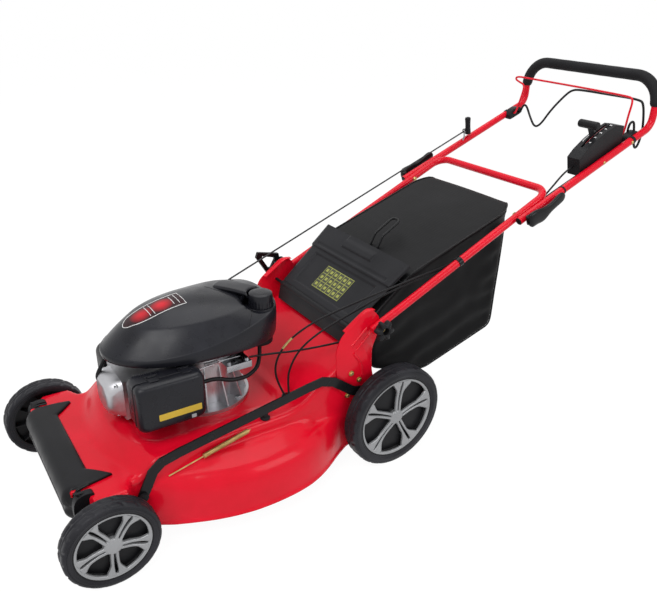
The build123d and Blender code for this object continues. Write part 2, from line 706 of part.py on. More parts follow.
def make_cowl():
    """Engine cowl: a domed shell with a raised shoulder towards the fuel cap."""
    outside = cowl_body(0.0)
    ramp = [(CAP_X, CAP_Y), (40.0, 424.0), (-4.0, 398.0), (-40.0, 392.0)]
    hump = None
    for k, (x, y) in enumerate(ramp):
        top = 490.0 + 3.0 * min(k, 2)
        knob = rod_z(x, y, 400.0, top, 31.0 if k else 34.0)
        hump = knob if hump is None else hump + knob
    shell = outside + hump
    shell = shell - cowl_body(COWL_T)
    shell = shell - rod_z(CAP_X, CAP_Y, 370.0, 520.0, CAP_R + 1.5)
    shell = shell - rod(ROPE_START, ROPE_GUIDE, 5.0)
    lobes = [rod_z(x, y, 370.0, 486.0, 27.0) for x, y in ramp[1:]]
    for lobe in lobes:
        shell = shell - lobe
    return shell


def make_engine_cowl():
    shell = make_cowl() + rod_z(0, CRANK_Y, RECOIL_Z - 2, COWL_TOP_Z - 2, RECOIL_PIN_R)
    legs = [(-LEG_X, LEG_Y, CYL_Z + BLOCK_HALF_H), (LEG_X, LEG_Y, CYL_Z + BLOCK_HALF_H),
            (-LEG_X, CAP_Y, TANK_Z1)]
    for x, y, z in legs:
        low = rod_z(x, y, z, TANK_Z1 + 6.0, LEG_R)
        high = cowl_body(1.0).intersect(rod_z(x, y, TANK_Z1 + 4.0, COWL_TOP_Z, LEG_R))
        shell = shell + low + high
    solids = sorted(shell.solids(), key=lambda item: -item.volume)
    keep("engine_cowl", solids[0])


TANK_X0 = -86.0
TANK_X1 = 98.0
TANK_Y1 = 486.0
TANK_WALL = 3.0
TANK_CORNER = 26.0


def make_fuel_tank():
    x0, x1, y0, y1 = TANK_X0, TANK_X1, CRANK_Y + FLYWHEEL_R + 8, TANK_Y1
    wall = TANK_WALL
    body = block(x0, x1, y0, y1, TANK_Z0, TANK_Z1)
    body = body.fillet(TANK_CORNER, [e for e in body.edges().filter_by(Axis.Z)])
    body = body.fillet(8, [e for e in body.edges() if e.center().Z < TANK_Z0 + 0.5])
    neck = rod_z(CAP_X, CAP_Y, TANK_Z1 - 3, 462, 20.0)
    body = body + neck
    inner = block(x0 + wall, x1 - wall, y0 + wall, y1 - wall, TANK_Z0 + wall, TANK_Z1 - wall)
    inner = inner.fillet(TANK_CORNER - wall, [e for e in inner.edges().filter_by(Axis.Z)])
    body = body - inner - rod_z(CAP_X, CAP_Y, TANK_Z1 - 10, 470, 17.0)
    post = block(-14, 14, CRANK_Y + CASE_R - 2, CRANK_Y + CASE_R + 34, 300, 312)
    post = post + block(-14, 14, CRANK_Y + CASE_R + 22, CRANK_Y + CASE_R + 34, 300, TANK_Z0 + 1)
    post = post - rod_z(0, CRANK_Y, 290, 330, CASE_R)
    keep("fuel_tank", body + post)


def make_fuel_cap():
    cap = rod_z(CAP_X, CAP_Y, 440.0, 488.0, CAP_R)
    cap = cap.fillet(5, [e for e in cap.edges() if e.center().Z > 487])
    cap = cap - rod_z(CAP_X, CAP_Y, 438.0, 463.0, 20.3)
    ribs = 24
    for k in range(ribs):
        turn = 2 * math.pi * k / ribs
        x, y = CAP_X + CAP_R * math.cos(turn), CAP_Y + CAP_R * math.sin(turn)
        cap = cap - rod_z(x, y, 438.0, 470.0, 1.2)
    keep("fuel_cap", cap)


def make_carburettor():
    x0, x1 = BLOCK_HALF_W, AIR_X0
    body = rod_x(x0, x1, CARB_Y, CARB_Z, 19.0)
    body = body + block(x0 + 8, x1 - 6, CARB_Y - 24, CARB_Y + 24, CARB_Z - 22, CARB_Z + 14)
    bowl = rod_z((x0 + x1) / 2, CARB_Y, CARB_Z - 52, CARB_Z - 20, 17.0)
    body = body + bowl - rod_x(x0 - 1, x1 + 1, CARB_Y, CARB_Z, 11.0)
    keep("carburettor", body)


AIR_X0 = 96.0
AIR_X1 = 141.0
AIR_X2 = 171.0
AIR_Y0 = 114.0
AIR_Y1 = 267.0
AIR_Z0 = 260.0
AIR_Z1 = 372.0
AIR_WALL = 2.6
AIR_HINGE_R = 2.5
AIR_HINGE_X = AIR_X1 + 0.4


def make_air_cleaner():
    case = block(AIR_X0, AIR_X1, AIR_Y0, AIR_Y1, AIR_Z0, AIR_Z1)
    case = case.fillet(12, list(case.edges().filter_by(Axis.X)))
    room = block(AIR_X0 + AIR_WALL, AIR_X1 + 1, AIR_Y0 + AIR_WALL, AIR_Y1 - AIR_WALL,
                 AIR_Z0 + AIR_WALL, AIR_Z1 - AIR_WALL)
    room = room.fillet(10, list(room.edges().filter_by(Axis.X)))
    case = case - room - rod_x(AIR_X0 - 1, AIR_X0 + 4, CARB_Y, CARB_Z, 11.0)
    hose_boss = rod((118, AIR_Y1 - 1, 316), (118, AIR_Y1 + 8, 316), 9.0)
    keep("air_cleaner_case", case + hose_boss)
    foam = block(AIR_X0 + 12, AIR_X1 - 1, AIR_Y0 + AIR_WALL + 0.3, AIR_Y1 - AIR_WALL - 0.3,
                 AIR_Z0 + AIR_WALL + 0.3, AIR_Z1 - AIR_WALL - 0.3)
    foam = foam.fillet(9, list(foam.edges().filter_by(Axis.X)))
    keep("air_filter", foam)
    x0 = AIR_X1 + 0.4
    cover = block(x0, AIR_X2, AIR_Y0, AIR_Y1, AIR_Z0, AIR_Z1)
    cover = cover.fillet(12, list(cover.edges().filter_by(Axis.X)))
    cover = cover.fillet(8, [e for e in cover.edges() if e.center().X > AIR_X2 - 0.5])
    room = block(x0 - 1, AIR_X2 - AIR_WALL, AIR_Y0 + AIR_WALL, AIR_Y1 - AIR_WALL,
                 AIR_Z0 + AIR_WALL, AIR_Z1 - AIR_WALL)
    room = room.fillet(9, list(room.edges().filter_by(Axis.X)))
    cover = cover - room
    for y in (AIR_Y0 + 36, AIR_Y1 - 44):
        clip = block(x0 - 8, x0 + 10, y, y + 22, AIR_Z1 + 0.3, AIR_Z1 + 2.4)
        clip = clip + block(x0 + 4, x0 + 10, y, y + 22, AIR_Z1 - 1, AIR_Z1 + 1)
        cover = cover + clip
    for y in (AIR_Y0 + 30, AIR_Y1 - 46):
        bead_z = AIR_Z0 - AIR_HINGE_R - 0.2
        bead = rod((AIR_HINGE_X, y, bead_z), (AIR_HINGE_X, y + 16, bead_z), AIR_HINGE_R)
        web = block(x0 + 0.1, x0 + 4.0, y, y + 16, bead_z - 0.5, AIR_Z0 + 1.5)
        cover = cover + bead + web
    keep("air_cleaner_cover", cover)


def make_control_bracket():
    z = CASE_TOP_Z
    plate = block(30, 124, 340, 404, z, z + 2.2)
    lip = block(121.8, 124, 340, 404, z - 14, z + 1)
    keep("control_bracket", plate + lip - rod_z(0, CRANK_Y, z - 5, z + 5, 30.0))


HOSE_ROUTE = [(84.0, 446.0, TANK_Z0), (84.0, 446.0, 326.0), (104.0, 430.0, 306.0),
              (122.0, 396.0, 299.0), (128.0, 352.0, 303.0), (118.0, 312.0, 316.0),
              (118.0, AIR_Y1 + 8.0, 316.0)]
HOSE_R = 5.0


def make_hose():
    keep("fuel_hose", cord(HOSE_ROUTE, HOSE_R, "fuel_hose"))


FLY_Z = CASE_TOP_Z + 4.0


def make_crankshaft():
    top = FLY_Z + FLYWHEEL_T + 18
    shaft = rod_z(0, CRANK_Y, BLADE_Z + BLADE_T + 12, CYL_Z - 20, CRANK_R)
    shaft = shaft + rod_z(0, CRANK_Y, CYL_Z + 20, top, CRANK_R)
    for z in (CYL_Z - 31, CYL_Z + 19):
        shaft = shaft + rod_z(0, CRANK_Y + 4, z, z + 12, 38.0)
    pin_y = CRANK_Y - THROW
    shaft = shaft + rod_z(0, pin_y, CYL_Z - 21, CYL_Z + 21, 13.0)
    shaft = shaft - rod_z(0, CRANK_Y, BLADE_Z, BLADE_Z + 30, 5.0)
    keep("crankshaft", shaft)
    ring = turned_z([(CRANK_R, FLY_Z), (FLYWHEEL_R, FLY_Z), (FLYWHEEL_R, FLY_Z + 12),
                     (FLYWHEEL_R - 10, FLY_Z + 12), (FLYWHEEL_R - 10, FLY_Z + 6),
                     (30, FLY_Z + 6), (26, FLY_Z + FLYWHEEL_T), (CRANK_R, FLY_Z + FLYWHEEL_T)],
                    0, CRANK_Y)
    blades = 12
    for k in range(blades):
        turn = 360.0 / blades * k
        fin = block(42, FLYWHEEL_R - 4, -1.6, 1.6, FLY_Z + 5, FLY_Z + FLYWHEEL_T)
        fin = Pos(0, CRANK_Y, 0) * Rot(0, 0, turn) * fin
        ring = ring + fin
    keep("flywheel", ring)
    adapter = rod_z(0, CRANK_Y, BLADE_Z + BLADE_T, BLADE_Z + BLADE_T + 40, 21.0)
    adapter = adapter + rod_z(0, CRANK_Y, BLADE_Z + BLADE_T + 39, BELT_Z - 7, 17.0)
    groove = [(CRANK_R, BELT_Z - 8), (ENGINE_PULLEY_R + 6, BELT_Z - 8),
              (ENGINE_PULLEY_R + 6, BELT_Z - 6), (ENGINE_PULLEY_R, BELT_Z - 3),
              (ENGINE_PULLEY_R, BELT_Z + 3), (ENGINE_PULLEY_R + 6, BELT_Z + 6),
              (ENGINE_PULLEY_R + 6, BELT_Z + 8), (CRANK_R, BELT_Z + 8)]
    adapter = adapter + turned_z(groove, 0, CRANK_Y)
    adapter = adapter - rod_z(0, CRANK_Y, BLADE_Z + BLADE_T + 12, BELT_Z + 10, CRANK_R)
    adapter = adapter - rod_z(0, CRANK_Y, BLADE_Z, BLADE_Z + 30, 5.0)
    keep("blade_adapter", adapter)
    half = BLADE_LENGTH / 2
    w = BLADE_W / 2
    outline = [(-half, -w + 12), (-half + 90, -w), (half, -w), (half, w - 12), (half - 90, w),
               (-half, w)]
    blade = prism_z([(x, CRANK_Y + y) for x, y in outline], BLADE_Z, BLADE_Z + BLADE_T)
    blade = blade - rod_z(0, CRANK_Y, BLADE_Z - 1, BLADE_Z + 10, 5.2)
    for way in (-1, 1):
        tail = CRANK_Y + way * (w - 4.0)
        top = BLADE_Z + BLADE_T
        lift = prism([(way * (half - 86), tail, top - 1), (way * (half - 2), tail, top - 1),
                      (way * (half - 2), tail, top + 16), (way * (half - 56), tail, top + 16)],
                     (0, way * 4.0, 0))
        blade = blade + lift
    keep("cutting_blade", blade)
    head = prism_z([(12 * math.cos(math.radians(60 * k)), CRANK_Y + 12 * math.sin(math.radians(
        60 * k))) for k in range(6)], BLADE_Z - 13, BLADE_Z - 4)
    washer = rod_z(0, CRANK_Y, BLADE_Z - 4, BLADE_Z, 20.0)
    thread = rod_z(0, CRANK_Y, BLADE_Z - 1, BLADE_Z + 28, 4.9)
    keep("blade_bolt", head + washer + thread)


def make_recoil():
    z = RECOIL_Z
    bore = RECOIL_PIN_R + RUNNING_FIT
    drum = turned_z([(bore, z), (RECOIL_R + 12, z), (RECOIL_R + 12, z + 2), (RECOIL_R, z + 3),
                     (RECOIL_R, z + 9), (RECOIL_R + 12, z + 10), (RECOIL_R + 12, z + 12),
                     (bore, z + 12)], 0, CRANK_Y)
    keep("recoil_pulley", drum)


# ------------------------------------------------------------------ transmission
GEARBOX_PULLEY_Y = 748.0
GEARBOX_TOP = 152.0


def make_transmission():
    py, pz = REAR_PIVOT
    box = block(-42, 42, 724, py + 24, 106, GEARBOX_TOP)
    box = box.fillet(8, list(box.edges().filter_by(Axis.X)))
    box = box + rod_x(-56, 56, py, pz, 18.0)
    for x in (-30.0, 30.0):
        box = box + rod((x, SKIRT_REAR_Y - 15.0, 112), (x, 730, 112), 6.0)
    box = box - rod_x(-60, 60, py, pz, SHAFT_R + RUNNING_FIT)
    box = box + rod_z(0, GEARBOX_PULLEY_Y, GEARBOX_TOP - 2, BELT_Z + 10, 6.0)
    keep("gearbox", box)
    r = GEARBOX_PULLEY_R
    z = BELT_Z
    groove = [(6.1, z - 8), (r + 6, z - 8), (r + 6, z - 6), (r, z - 3), (r, z + 3),
              (r + 6, z + 6), (r + 6, z + 8), (6.1, z + 8)]
    keep("gearbox_pulley", turned_z(groove, 0, GEARBOX_PULLEY_Y))
    # belt: two tangent runs and an arc on each pulley, 0.3 mm clear of the grooves
    r1, r2 = ENGINE_PULLEY_R + 0.3, GEARBOX_PULLEY_R + 0.3
    span = GEARBOX_PULLEY_Y - CRANK_Y
    lean = math.asin((r2 - r1) / span)

    def loop(extra):
        a, b = r1 + extra, r2 + extra
        c, s = math.cos(lean), math.sin(lean)
        p1 = Vector(a * c, CRANK_Y - a * s, z - 3)
        p2 = Vector(b * c, GEARBOX_PULLEY_Y - b * s, z - 3)
        q1, q2 = Vector(-p1.X, p1.Y, p1.Z), Vector(-p2.X, p2.Y, p2.Z)
        edges = [Edge.make_line(p1, p2),
                 Edge.make_three_point_arc(p2, Vector(0, GEARBOX_PULLEY_Y + b, z - 3), q2),
                 Edge.make_line(q2, q1),
                 Edge.make_three_point_arc(q1, Vector(0, CRANK_Y - a, z - 3), p1)]
        return Solid.extrude(Face(Wire(edges)), Vector(0, 0, 6))

    keep("drive_belt", loop(5.0) - loop(0.0))
    shaft = rod_x(-REAR_INNER_X - 18, REAR_INNER_X + 18, py, pz, SHAFT_R)
    outline = gear_outline(PINION_GEAR_R, PINION_TEETH, False, 0.0)
    for way in (-1, 1):
        x = way * (REAR_INNER_X + 5.0)
        shaft = shaft + prism([(x, py + a, pz + b) for a, b in outline], (way * 13.0, 0, 0))
    keep("drive_shaft", shaft)


# ------------------------------------------------------------------ brackets and handles
BRACKET_OUTLINE = [(600.0, 232.0), (590.0, 300.0), (588.0, 350.0), (602.0, 384.0),
                   (668.0, 434.0), (692.0, 437.0), (716.0, 412.0), (714.0, 372.0),
                   (696.0, 330.0), (700.0, 262.0), (722.0, 196.0), (818.0, 168.0),
                   (818.0, 122.0), (760.0, 112.0), (700.0, 150.0), (640.0, 190.0)]


HOOK_Z = 390.0
HOOK_R = 3.0
HANG_GAP = 0.3


def make_brackets():
    """Pressed side plates that carry the handle, the flap pins and the drive-shaft bushes."""
    x0, x1 = BRACKET_X, BRACKET_X + BRACKET_T
    plate = prism_x(BRACKET_OUTLINE, x0, x1)
    flange = prism_x([(602.0, 384.0), (668.0, 434.0), (670.0, 431.5), (604.0, 381.2)],
                     x0 - 12.0, x0 + 1.0)
    plate = plate + flange
    py, pz = REAR_PIVOT
    plate = plate + rod_x(x0 - 8, x0 + 1, py, pz, 14.0)
    plate = plate - rod_x(x0 - 10, x1 + 1, py, pz, SHAFT_R + RUNNING_FIT)
    plate = plate - rod_x(x0 - 1, x1 + 1, FLAP_HINGE_Y, FLAP_HINGE_Z, FLAP_PIN_R + RUNNING_FIT)
    rest_z = HOOK_Z - HOOK_R - HANG_GAP
    plate = plate + block(x0 - 7.0, x0 + 1.0, 698.0, 715.0, rest_z - 3.0, rest_z)
    stud = rod_x(x1 - 1, LOWER_X + TUBE_R + 20, HANDLE_PIVOT_Y, HANDLE_PIVOT_Z, BOLT_R)
    plate = plate + stud
    for y, z in ((635.0, 275.0), (660.0, 250.0)):
        plate = plate + rod_x(x1 - 1, x1 + 2.0, y, z, 6.0)
    keep("handle_brackets", plate, mirrored(plate))


CROSSBAR_BEND_R = 42.0


def hollow_tube(points, bend):
    """Handle tube with its wall, open at both ends."""
    return swept(points, TUBE_R, bend) - swept(points, TUBE_R - TUBE_WALL, bend)


def make_lower_handle():
    y0 = HANDLE_PIVOT_Y - 16
    points = [(LOWER_X, y0, lower_z(y0)), (LOWER_X, CROSSBAR_Y, lower_z(CROSSBAR_Y)),
              (-LOWER_X, CROSSBAR_Y, lower_z(CROSSBAR_Y)), (-LOWER_X, y0, lower_z(y0))]
    tube = hollow_tube(points, CROSSBAR_BEND_R)
    for way in (-1, 1):
        tube = tube - rod_x(way * (LOWER_X - TUBE_R - 2), way * (LOWER_X + TUBE_R + 2),
                            HANDLE_PIVOT_Y, HANDLE_PIVOT_Z, BOLT_R + RUNNING_FIT)
        tube = tube + rod_x(way * LOWER_X, way * (UPPER_X + TUBE_R + 0.2), JOINT_Y, JOINT_Z,
                            BOLT_R)
    keep("lower_handle", tube)


UPPER_START_Y = 1138.0
ROPE_R = 1.8
ROPE_START = (-80.0, 430.0, 455.0)
ROPE_GUIDE = (-232.0, 1372.0, 733.0)


def rope_point(distance):
    """Point on the starter rope's line, measured from the guide towards the operator."""
    a, b = Vector(*ROPE_START), Vector(*ROPE_GUIDE)
    unit = (b - a).normalized()
    p = b + unit * distance
    return (p.X, p.Y, p.Z)


def make_upper_handle():
    y0 = UPPER_START_Y
    points = [(UPPER_X, y0, upper_z(y0)), (UPPER_X, GRIP_Y, upper_z(GRIP_Y)),
              (UPPER_X, GRIP_Y, GRIP_Z), (-UPPER_X, GRIP_Y, GRIP_Z),
              (-UPPER_X, GRIP_Y, upper_z(GRIP_Y)), (-UPPER_X, y0, upper_z(y0))]
    knee = 40.0
    tube = hollow_tube(points, [knee, GRIP_CORNER_R, GRIP_CORNER_R, knee])
    for way in (-1, 1):
        tube = tube - rod_x(way * (UPPER_X - TUBE_R - 2), way * (UPPER_X + TUBE_R + 2),
                            JOINT_Y, JOINT_Z, BOLT_R + RUNNING_FIT)
    gx, gy, gz = ROPE_GUIDE
    ring = rod(rope_point(-3.0), rope_point(3.0), 8.0) - rod(rope_point(-4.0), rope_point(4.0),
                                                            ROPE_R + 1.2)
    post = rod((-UPPER_X + 4.0, gy, upper_z(gy) + 4.0), (gx - 2.0, gy, gz - 5.0), 3.0)
    keep("upper_handle", tube + ring + post)


FOAM_END_Z = 868.0


def make_foam_grip():
    points = [(UPPER_X, GRIP_Y, FOAM_END_Z - 6), (UPPER_X, GRIP_Y, GRIP_Z),
              (-UPPER_X, GRIP_Y, GRIP_Z), (-UPPER_X, GRIP_Y, FOAM_END_Z - 6)]
    outside = swept(points, FOAM_R, GRIP_CORNER_R)
    inside = swept(points, TUBE_R + 0.05, GRIP_CORNER_R)
    keep("foam_grip", outside - inside)


BAIL_Z = upper_z(BAIL_Y)
BLACK_WIRE_R = 3.4


def holder_place(s, t):
    """(y, z) at s along the upper tube from the holder's middle, t above its centre line."""
    slope = math.radians(UPPER_ANGLE)
    return (BAIL_Y + s * math.cos(slope) - t * math.sin(slope),
            BAIL_Z + s * math.sin(slope) + t * math.cos(slope))


HOLDER_FRONT = -28.0
CABLE_T = -9.5
RED_WIRE_R = 3.0


def make_bail_holders():
    """Clamps on both upper tubes that carry the two bails."""
    clamps = []
    for way in (-1, 1):
        slope = math.radians(UPPER_ANGLE)
        d = Vector(0, math.cos(slope), math.sin(slope))
        centre = Vector(way * UPPER_X, BAIL_Y, BAIL_Z)
        corners = []
        for s, t in ((HOLDER_FRONT, -13), (28, -13), (28, 6), (16, 15), (-14, 15),
                     (HOLDER_FRONT, 4)):
            corners.append((way * (BAIL_PIVOT_X + 8), *holder_place(s, t)))
        body = prism(corners, (way * (UPPER_X + TUBE_R + 3 - BAIL_PIVOT_X - 8), 0, 0))
        a = centre - d * 40
        b = centre + d * 40
        body = body - rod((a.X, a.Y, a.Z), (b.X, b.Y, b.Z), TUBE_R + 0.05)
        red = RED_PIVOT
        black = BLACK_PIVOT
        body = body - rod_x(way * (BAIL_PIVOT_X + 7), way * (UPPER_X - TUBE_R - 1), *red,
                            RED_WIRE_R + RUNNING_FIT)
        body = body - rod_x(way * (BAIL_PIVOT_X + 7), way * (UPPER_X - TUBE_R - 1), *black,
                            BLACK_WIRE_R + RUNNING_FIT)
        clamps.append(body)
    keep("bail_holders", *clamps)


RED_PIVOT = (BAIL_Y - 10.0, BAIL_Z - 1.0)
BLACK_PIVOT = (BAIL_Y + 12.0, BAIL_Z + 1.0)
PIVOT_TIP_X = BAIL_PIVOT_X + 22.0
RED_TOP = (1590.0, 897.0)
RED_SIDE_X = BAIL_PIVOT_X - 8.0
BLACK_TOP = (1618.0, 878.0)


def make_bails():
    """Two wire bails: the red drive bail in front, the black blade bail behind it."""
    ry, rz = RED_PIVOT
    ty, tz = RED_TOP
    x = BAIL_PIVOT_X
    side = RED_SIDE_X
    half = [(PIVOT_TIP_X, ry, rz), (side, ry, rz), (side - 2.0, ry + 8.0, rz + 54.0),
            (side, ty - 2.0, tz - 30.0), (side - 8.0, ty, tz)]
    points = half + mirror_points(half)
    bends = [5.0, 30.0, 20.0, 8.0, 8.0, 20.0, 30.0, 5.0]
    keep("drive_bail", swept(points, RED_WIRE_R, bends))
    by, bz = BLACK_PIVOT
    ty, tz = BLACK_TOP
    near = [(PIVOT_TIP_X, by, bz), (x - 1.0, by, bz), (x - 1.0, by + 22.0, bz - 46.0),
            (x - 1.0, by + 40.0, bz - 46.0), (x - 1.0, by + 40.0, bz - 4.0), (x - 3.0, ty, tz)]
    far = [(-60.0, ty, tz), (-150.0, by + 40.0, bz - 44.0), (-178.0, by + 22.0, bz - 44.0),
           (-x, by, bz), (-PIVOT_TIP_X, by, bz)]
    bends = [6.0, 8.0, 8.0, 10.0, 12.0, 26.0, 14.0, 14.0, 6.0]
    keep("blade_bail", swept(near + far, BLACK_WIRE_R, bends))


THROTTLE_PIVOT = (1462.0, 746.0)
BOX_X0 = 188.0
LEVER_SLOT_HALF = 3.4


def make_throttle():
    """Control box on the inside of the left tube, with its lever."""
    x1 = UPPER_X - TUBE_R - 0.3
    outline = [(1376.0, 690.0), (1362.0, 738.0), (1382.0, 758.0), (1420.0, 784.0),
               (1462.0, 806.0), (1502.0, 820.0), (1536.0, 816.0), (1540.0, 766.0)]
    box = prism_x(outline, BOX_X0, x1)
    inner = [(1382.0, 696.0), (1366.0, 737.0), (1385.0, 755.0), (1422.0, 780.5),
             (1464.0, 802.5), (1502.0, 816.0), (1532.0, 812.5), (1536.0, 770.0)]
    box = box - prism_x(inner, BOX_X0 + 3, x1 - 3)
    lx = LEVER_X_IN_BOX
    box = box - block(lx - LEVER_SLOT_HALF, lx + LEVER_SLOT_HALF, 1392, 1492, 752, 830)
    py, pz = THROTTLE_PIVOT
    box = box + rod_x(BOX_X0 + 1, x1 - 1, py, pz, 4.0)
    keep("throttle_box", box)
    ky, kz = py - 52.0, pz + 78.0
    stem = arm(lx - 2.2, lx + 2.2, [(py, pz), (ky, kz)], 8.0)
    stem = stem - rod_x(lx - 5, lx + 5, py, pz, 4.0 + RUNNING_FIT)
    knob = rod_x(lx - 34.0, lx + 30.0, ky, kz, 11.0)
    knob = knob.fillet(5, list(knob.edges().filter_by(GeomType.CIRCLE)))
    keep("throttle_lever", stem + knob)


LEVER_X_IN_BOX = 206.0
CAM_HEAD_R = 8.5
CAM_LENGTH = 112.0


def make_cam_levers():
    slope = math.radians(UPPER_ANGLE)
    d = Vector(0, math.cos(slope), math.sin(slope))
    n = Vector(0, -math.sin(slope), math.cos(slope))
    for name, way in (("cam_lever_left", 1), ("cam_lever_right", -1)):
        x = way * (UPPER_X + TUBE_R + 0.5 + CAM_HEAD_R)
        head_c = Vector(x, JOINT_Y, JOINT_Z)
        a, b = head_c - n * 12.0, head_c + n * 12.0
        head = rod((a.X, a.Y, a.Z), (b.X, b.Y, b.Z), CAM_HEAD_R)
        corners = []
        for s, t in ((2, -11), (60, -13), (CAM_LENGTH - 12, -12), (CAM_LENGTH, -5),
                     (CAM_LENGTH, 5), (CAM_LENGTH - 12, 12), (60, 13), (2, 11)):
            p = head_c + d * s + n * t
            corners.append((x + way * 1.0, p.Y, p.Z))
        blade = prism(corners, (way * 7.4, 0, 0))
        keep(name, head + blade)


KNOB_R = 25.0


def make_star_knobs():
    for name, way in (("handle_knob_left", 1), ("handle_knob_right", -1)):
        x0 = way * (LOWER_X + TUBE_R + 0.3)
        x1 = way * (LOWER_X + TUBE_R + 28.0)
        core = rod_x(x0, x1, HANDLE_PIVOT_Y, HANDLE_PIVOT_Z, KNOB_R - 9)
        for k in range(5):
            turn = math.radians(72 * k + 10)
            y = HANDLE_PIVOT_Y + (KNOB_R - 8) * math.cos(turn)
            z = HANDLE_PIVOT_Z + (KNOB_R - 8) * math.sin(turn)
            core = core + rod_x(x0 + way * 8, x1, y, z, 8.0)
        core = core - rod_x(x0 - way, way * (LOWER_X + TUBE_R + 21), HANDLE_PIVOT_Y,
                            HANDLE_PIVOT_Z, BOLT_R + RUNNING_FIT)
        keep(name, core)


def make_starter():
    drum_z = RECOIL_Z + 6
    route = [(-RECOIL_R - ROPE_R - 0.1, CRANK_Y, drum_z), (-33.0, 372.0, drum_z + 0.6),
             (-52.0, 402.0, 421.0), ROPE_START, rope_point(8.0)]
    keep("starter_rope", cord(route, ROPE_R, "starter rope"))
    a = Vector(*rope_point(18.0))
    tilt = Vector(0, -0.16, 1.0).normalized()
    low, high = a - tilt * 16, a + tilt * 36
    bar = rod((low.X, low.Y, low.Z), (high.X, high.Y, high.Z), 9.0)
    bar = bar.fillet(4, list(bar.edges().filter_by(GeomType.CIRCLE)))
    neck = rod(rope_point(8.4), rope_point(16.0), 6.0)
    keep("starter_grip", bar + neck)


# ------------------------------------------------------------------ flap and bag
FLAP_PIN_R = 4.0


def make_flap():
    dy, dz = FLAP_REAR_Y - FLAP_HINGE_Y, FLAP_REAR_Z - FLAP_HINGE_Z
    length = math.hypot(dy, dz)
    uy, uz = dy / length, dz / length
    ny, nz = -uz, uy

    def place(x, s, h):
        return (x, FLAP_HINGE_Y + uy * s + ny * h, FLAP_HINGE_Z + uz * s + nz * h)

    plate = prism([place(-FLAP_HALF_W, 2, 0), place(FLAP_HALF_W, 2, 0),
                   place(FLAP_REAR_HALF_W, length, 0), place(-FLAP_REAR_HALF_W, length, 0)],
                  (0, ny * FLAP_T, nz * FLAP_T))
    roll = rod_x(-FLAP_HALF_W + 2, FLAP_HALF_W - 2, FLAP_HINGE_Y, FLAP_HINGE_Z, 8.0)
    pins = rod_x(-BRACKET_X - BRACKET_T + 0.3, BRACKET_X + BRACKET_T - 0.3, FLAP_HINGE_Y,
                 FLAP_HINGE_Z, FLAP_PIN_R)
    y0, z0 = FLAP_HINGE_Y - 7.0, FLAP_HINGE_Z - 2.0
    skirt = prism_x([(y0, z0), (y0 - 3.0, z0), (y0 - 9.0, z0 - 40.0), (y0 - 6.0, z0 - 40.0)],
                    -FLAP_HALF_W + 6, FLAP_HALF_W - 6)
    lip = prism([place(-62, length - 40, FLAP_T - 1), place(62, length - 40, FLAP_T - 1),
                 place(62, length - 8, FLAP_T - 1), place(-62, length - 8, FLAP_T - 1)],
                (0, ny * 15.0, nz * 15.0))
    step = prism([place(-FLAP_HALF_W - 2, length * 0.66, FLAP_T - 1),
                  place(FLAP_HALF_W + 2, length * 0.66, FLAP_T - 1),
                  place(FLAP_REAR_HALF_W - 8, length - 4, FLAP_T - 1),
                  place(-FLAP_REAR_HALF_W + 8, length - 4, FLAP_T - 1)],
                 (0, ny * 6.0, nz * 6.0))
    keep("rear_flap", plate + roll + pins + skirt + step + lip)


BAG_PROFILE = [(712.0, 258.0), (712.0, 404.0), (826.0, 496.0), (1180.0, 624.0),
               (1192.0, 612.0), (1170.0, 528.0), (1156.0, 380.0), (1154.0, 276.0),
               (897.0, 198.0), (800.0, 226.0)]
MOUTH_Z0 = 266.0
MOUTH_Z1 = 400.0
MOUTH_HALF_W = 168.0


def make_bag():
    """Fabric bag as a closed shell with an open mouth at the front."""
    outside = prism_x(BAG_PROFILE, -BAG_HALF_W, BAG_HALF_W)
    cy = sum(y for y, z in BAG_PROFILE) / len(BAG_PROFILE)
    cz = sum(z for y, z in BAG_PROFILE) / len(BAG_PROFILE)
    depth = max(y for y, z in BAG_PROFILE) - min(y for y, z in BAG_PROFILE)
    height = max(z for y, z in BAG_PROFILE) - min(z for y, z in BAG_PROFILE)
    ky = 1 - 2 * BAG_WALL / depth
    kz = 1 - 2 * BAG_WALL / height * 1.2
    inner = [(cy + (y - cy) * ky, cz + (z - cz) * kz) for y, z in BAG_PROFILE]
    inside = prism_x(inner, -BAG_HALF_W + BAG_WALL, BAG_HALF_W - BAG_WALL)
    mouth = block(-MOUTH_HALF_W, MOUTH_HALF_W, 700, 724, MOUTH_Z0, MOUTH_Z1)
    keep("grass_bag", outside - inside - mouth)


FRAME_WIRE_R = 4.0


def make_bag_frame():
    y = 712.0 - FRAME_WIRE_R - 0.3
    x, z0, z1 = MOUTH_HALF_W + 7, MOUTH_Z0 - 4.0, MOUTH_Z1 - 2.0
    path = FilletPolyline((x, y, z0), (x, y, z1), (-x, y, z1), (-x, y, z0),
                          radius=18.0, close=True)
    section = Plane(origin=path @ 0, z_dir=path % 0) * Circle(FRAME_WIRE_R)
    loop = sweep(section, path=path)
    hx = 16.0
    for way in (-1, 1):
        loop = loop + rod_x(way * x, way * (BRACKET_X - HANG_GAP), y, HOOK_Z, HOOK_R)
    handle = swept([(-hx, 846, 506.2), (-hx, 862, 537), (-hx, 920, 572), (hx, 920, 572),
                    (hx, 862, 537), (hx, 846, 506.2)], 3.2, [10, 12, 12, 10])
    keep("bag_frame", loop, handle)


# ------------------------------------------------------------------ small deck parts, cables
NOZZLE = (188.0, 402.0)
NOZZLE_R = 7.5


def make_nozzle():
    """Hose connection for washing the underside: collar on the deck and a ringed spigot."""
    x, y = NOZZLE
    z = PLATEAU_Z
    body = rod_z(x, y, z, z + 5, 11.0) + rod_z(x, y, z + 4, z + 26, NOZZLE_R)
    keep("wash_nozzle", body)


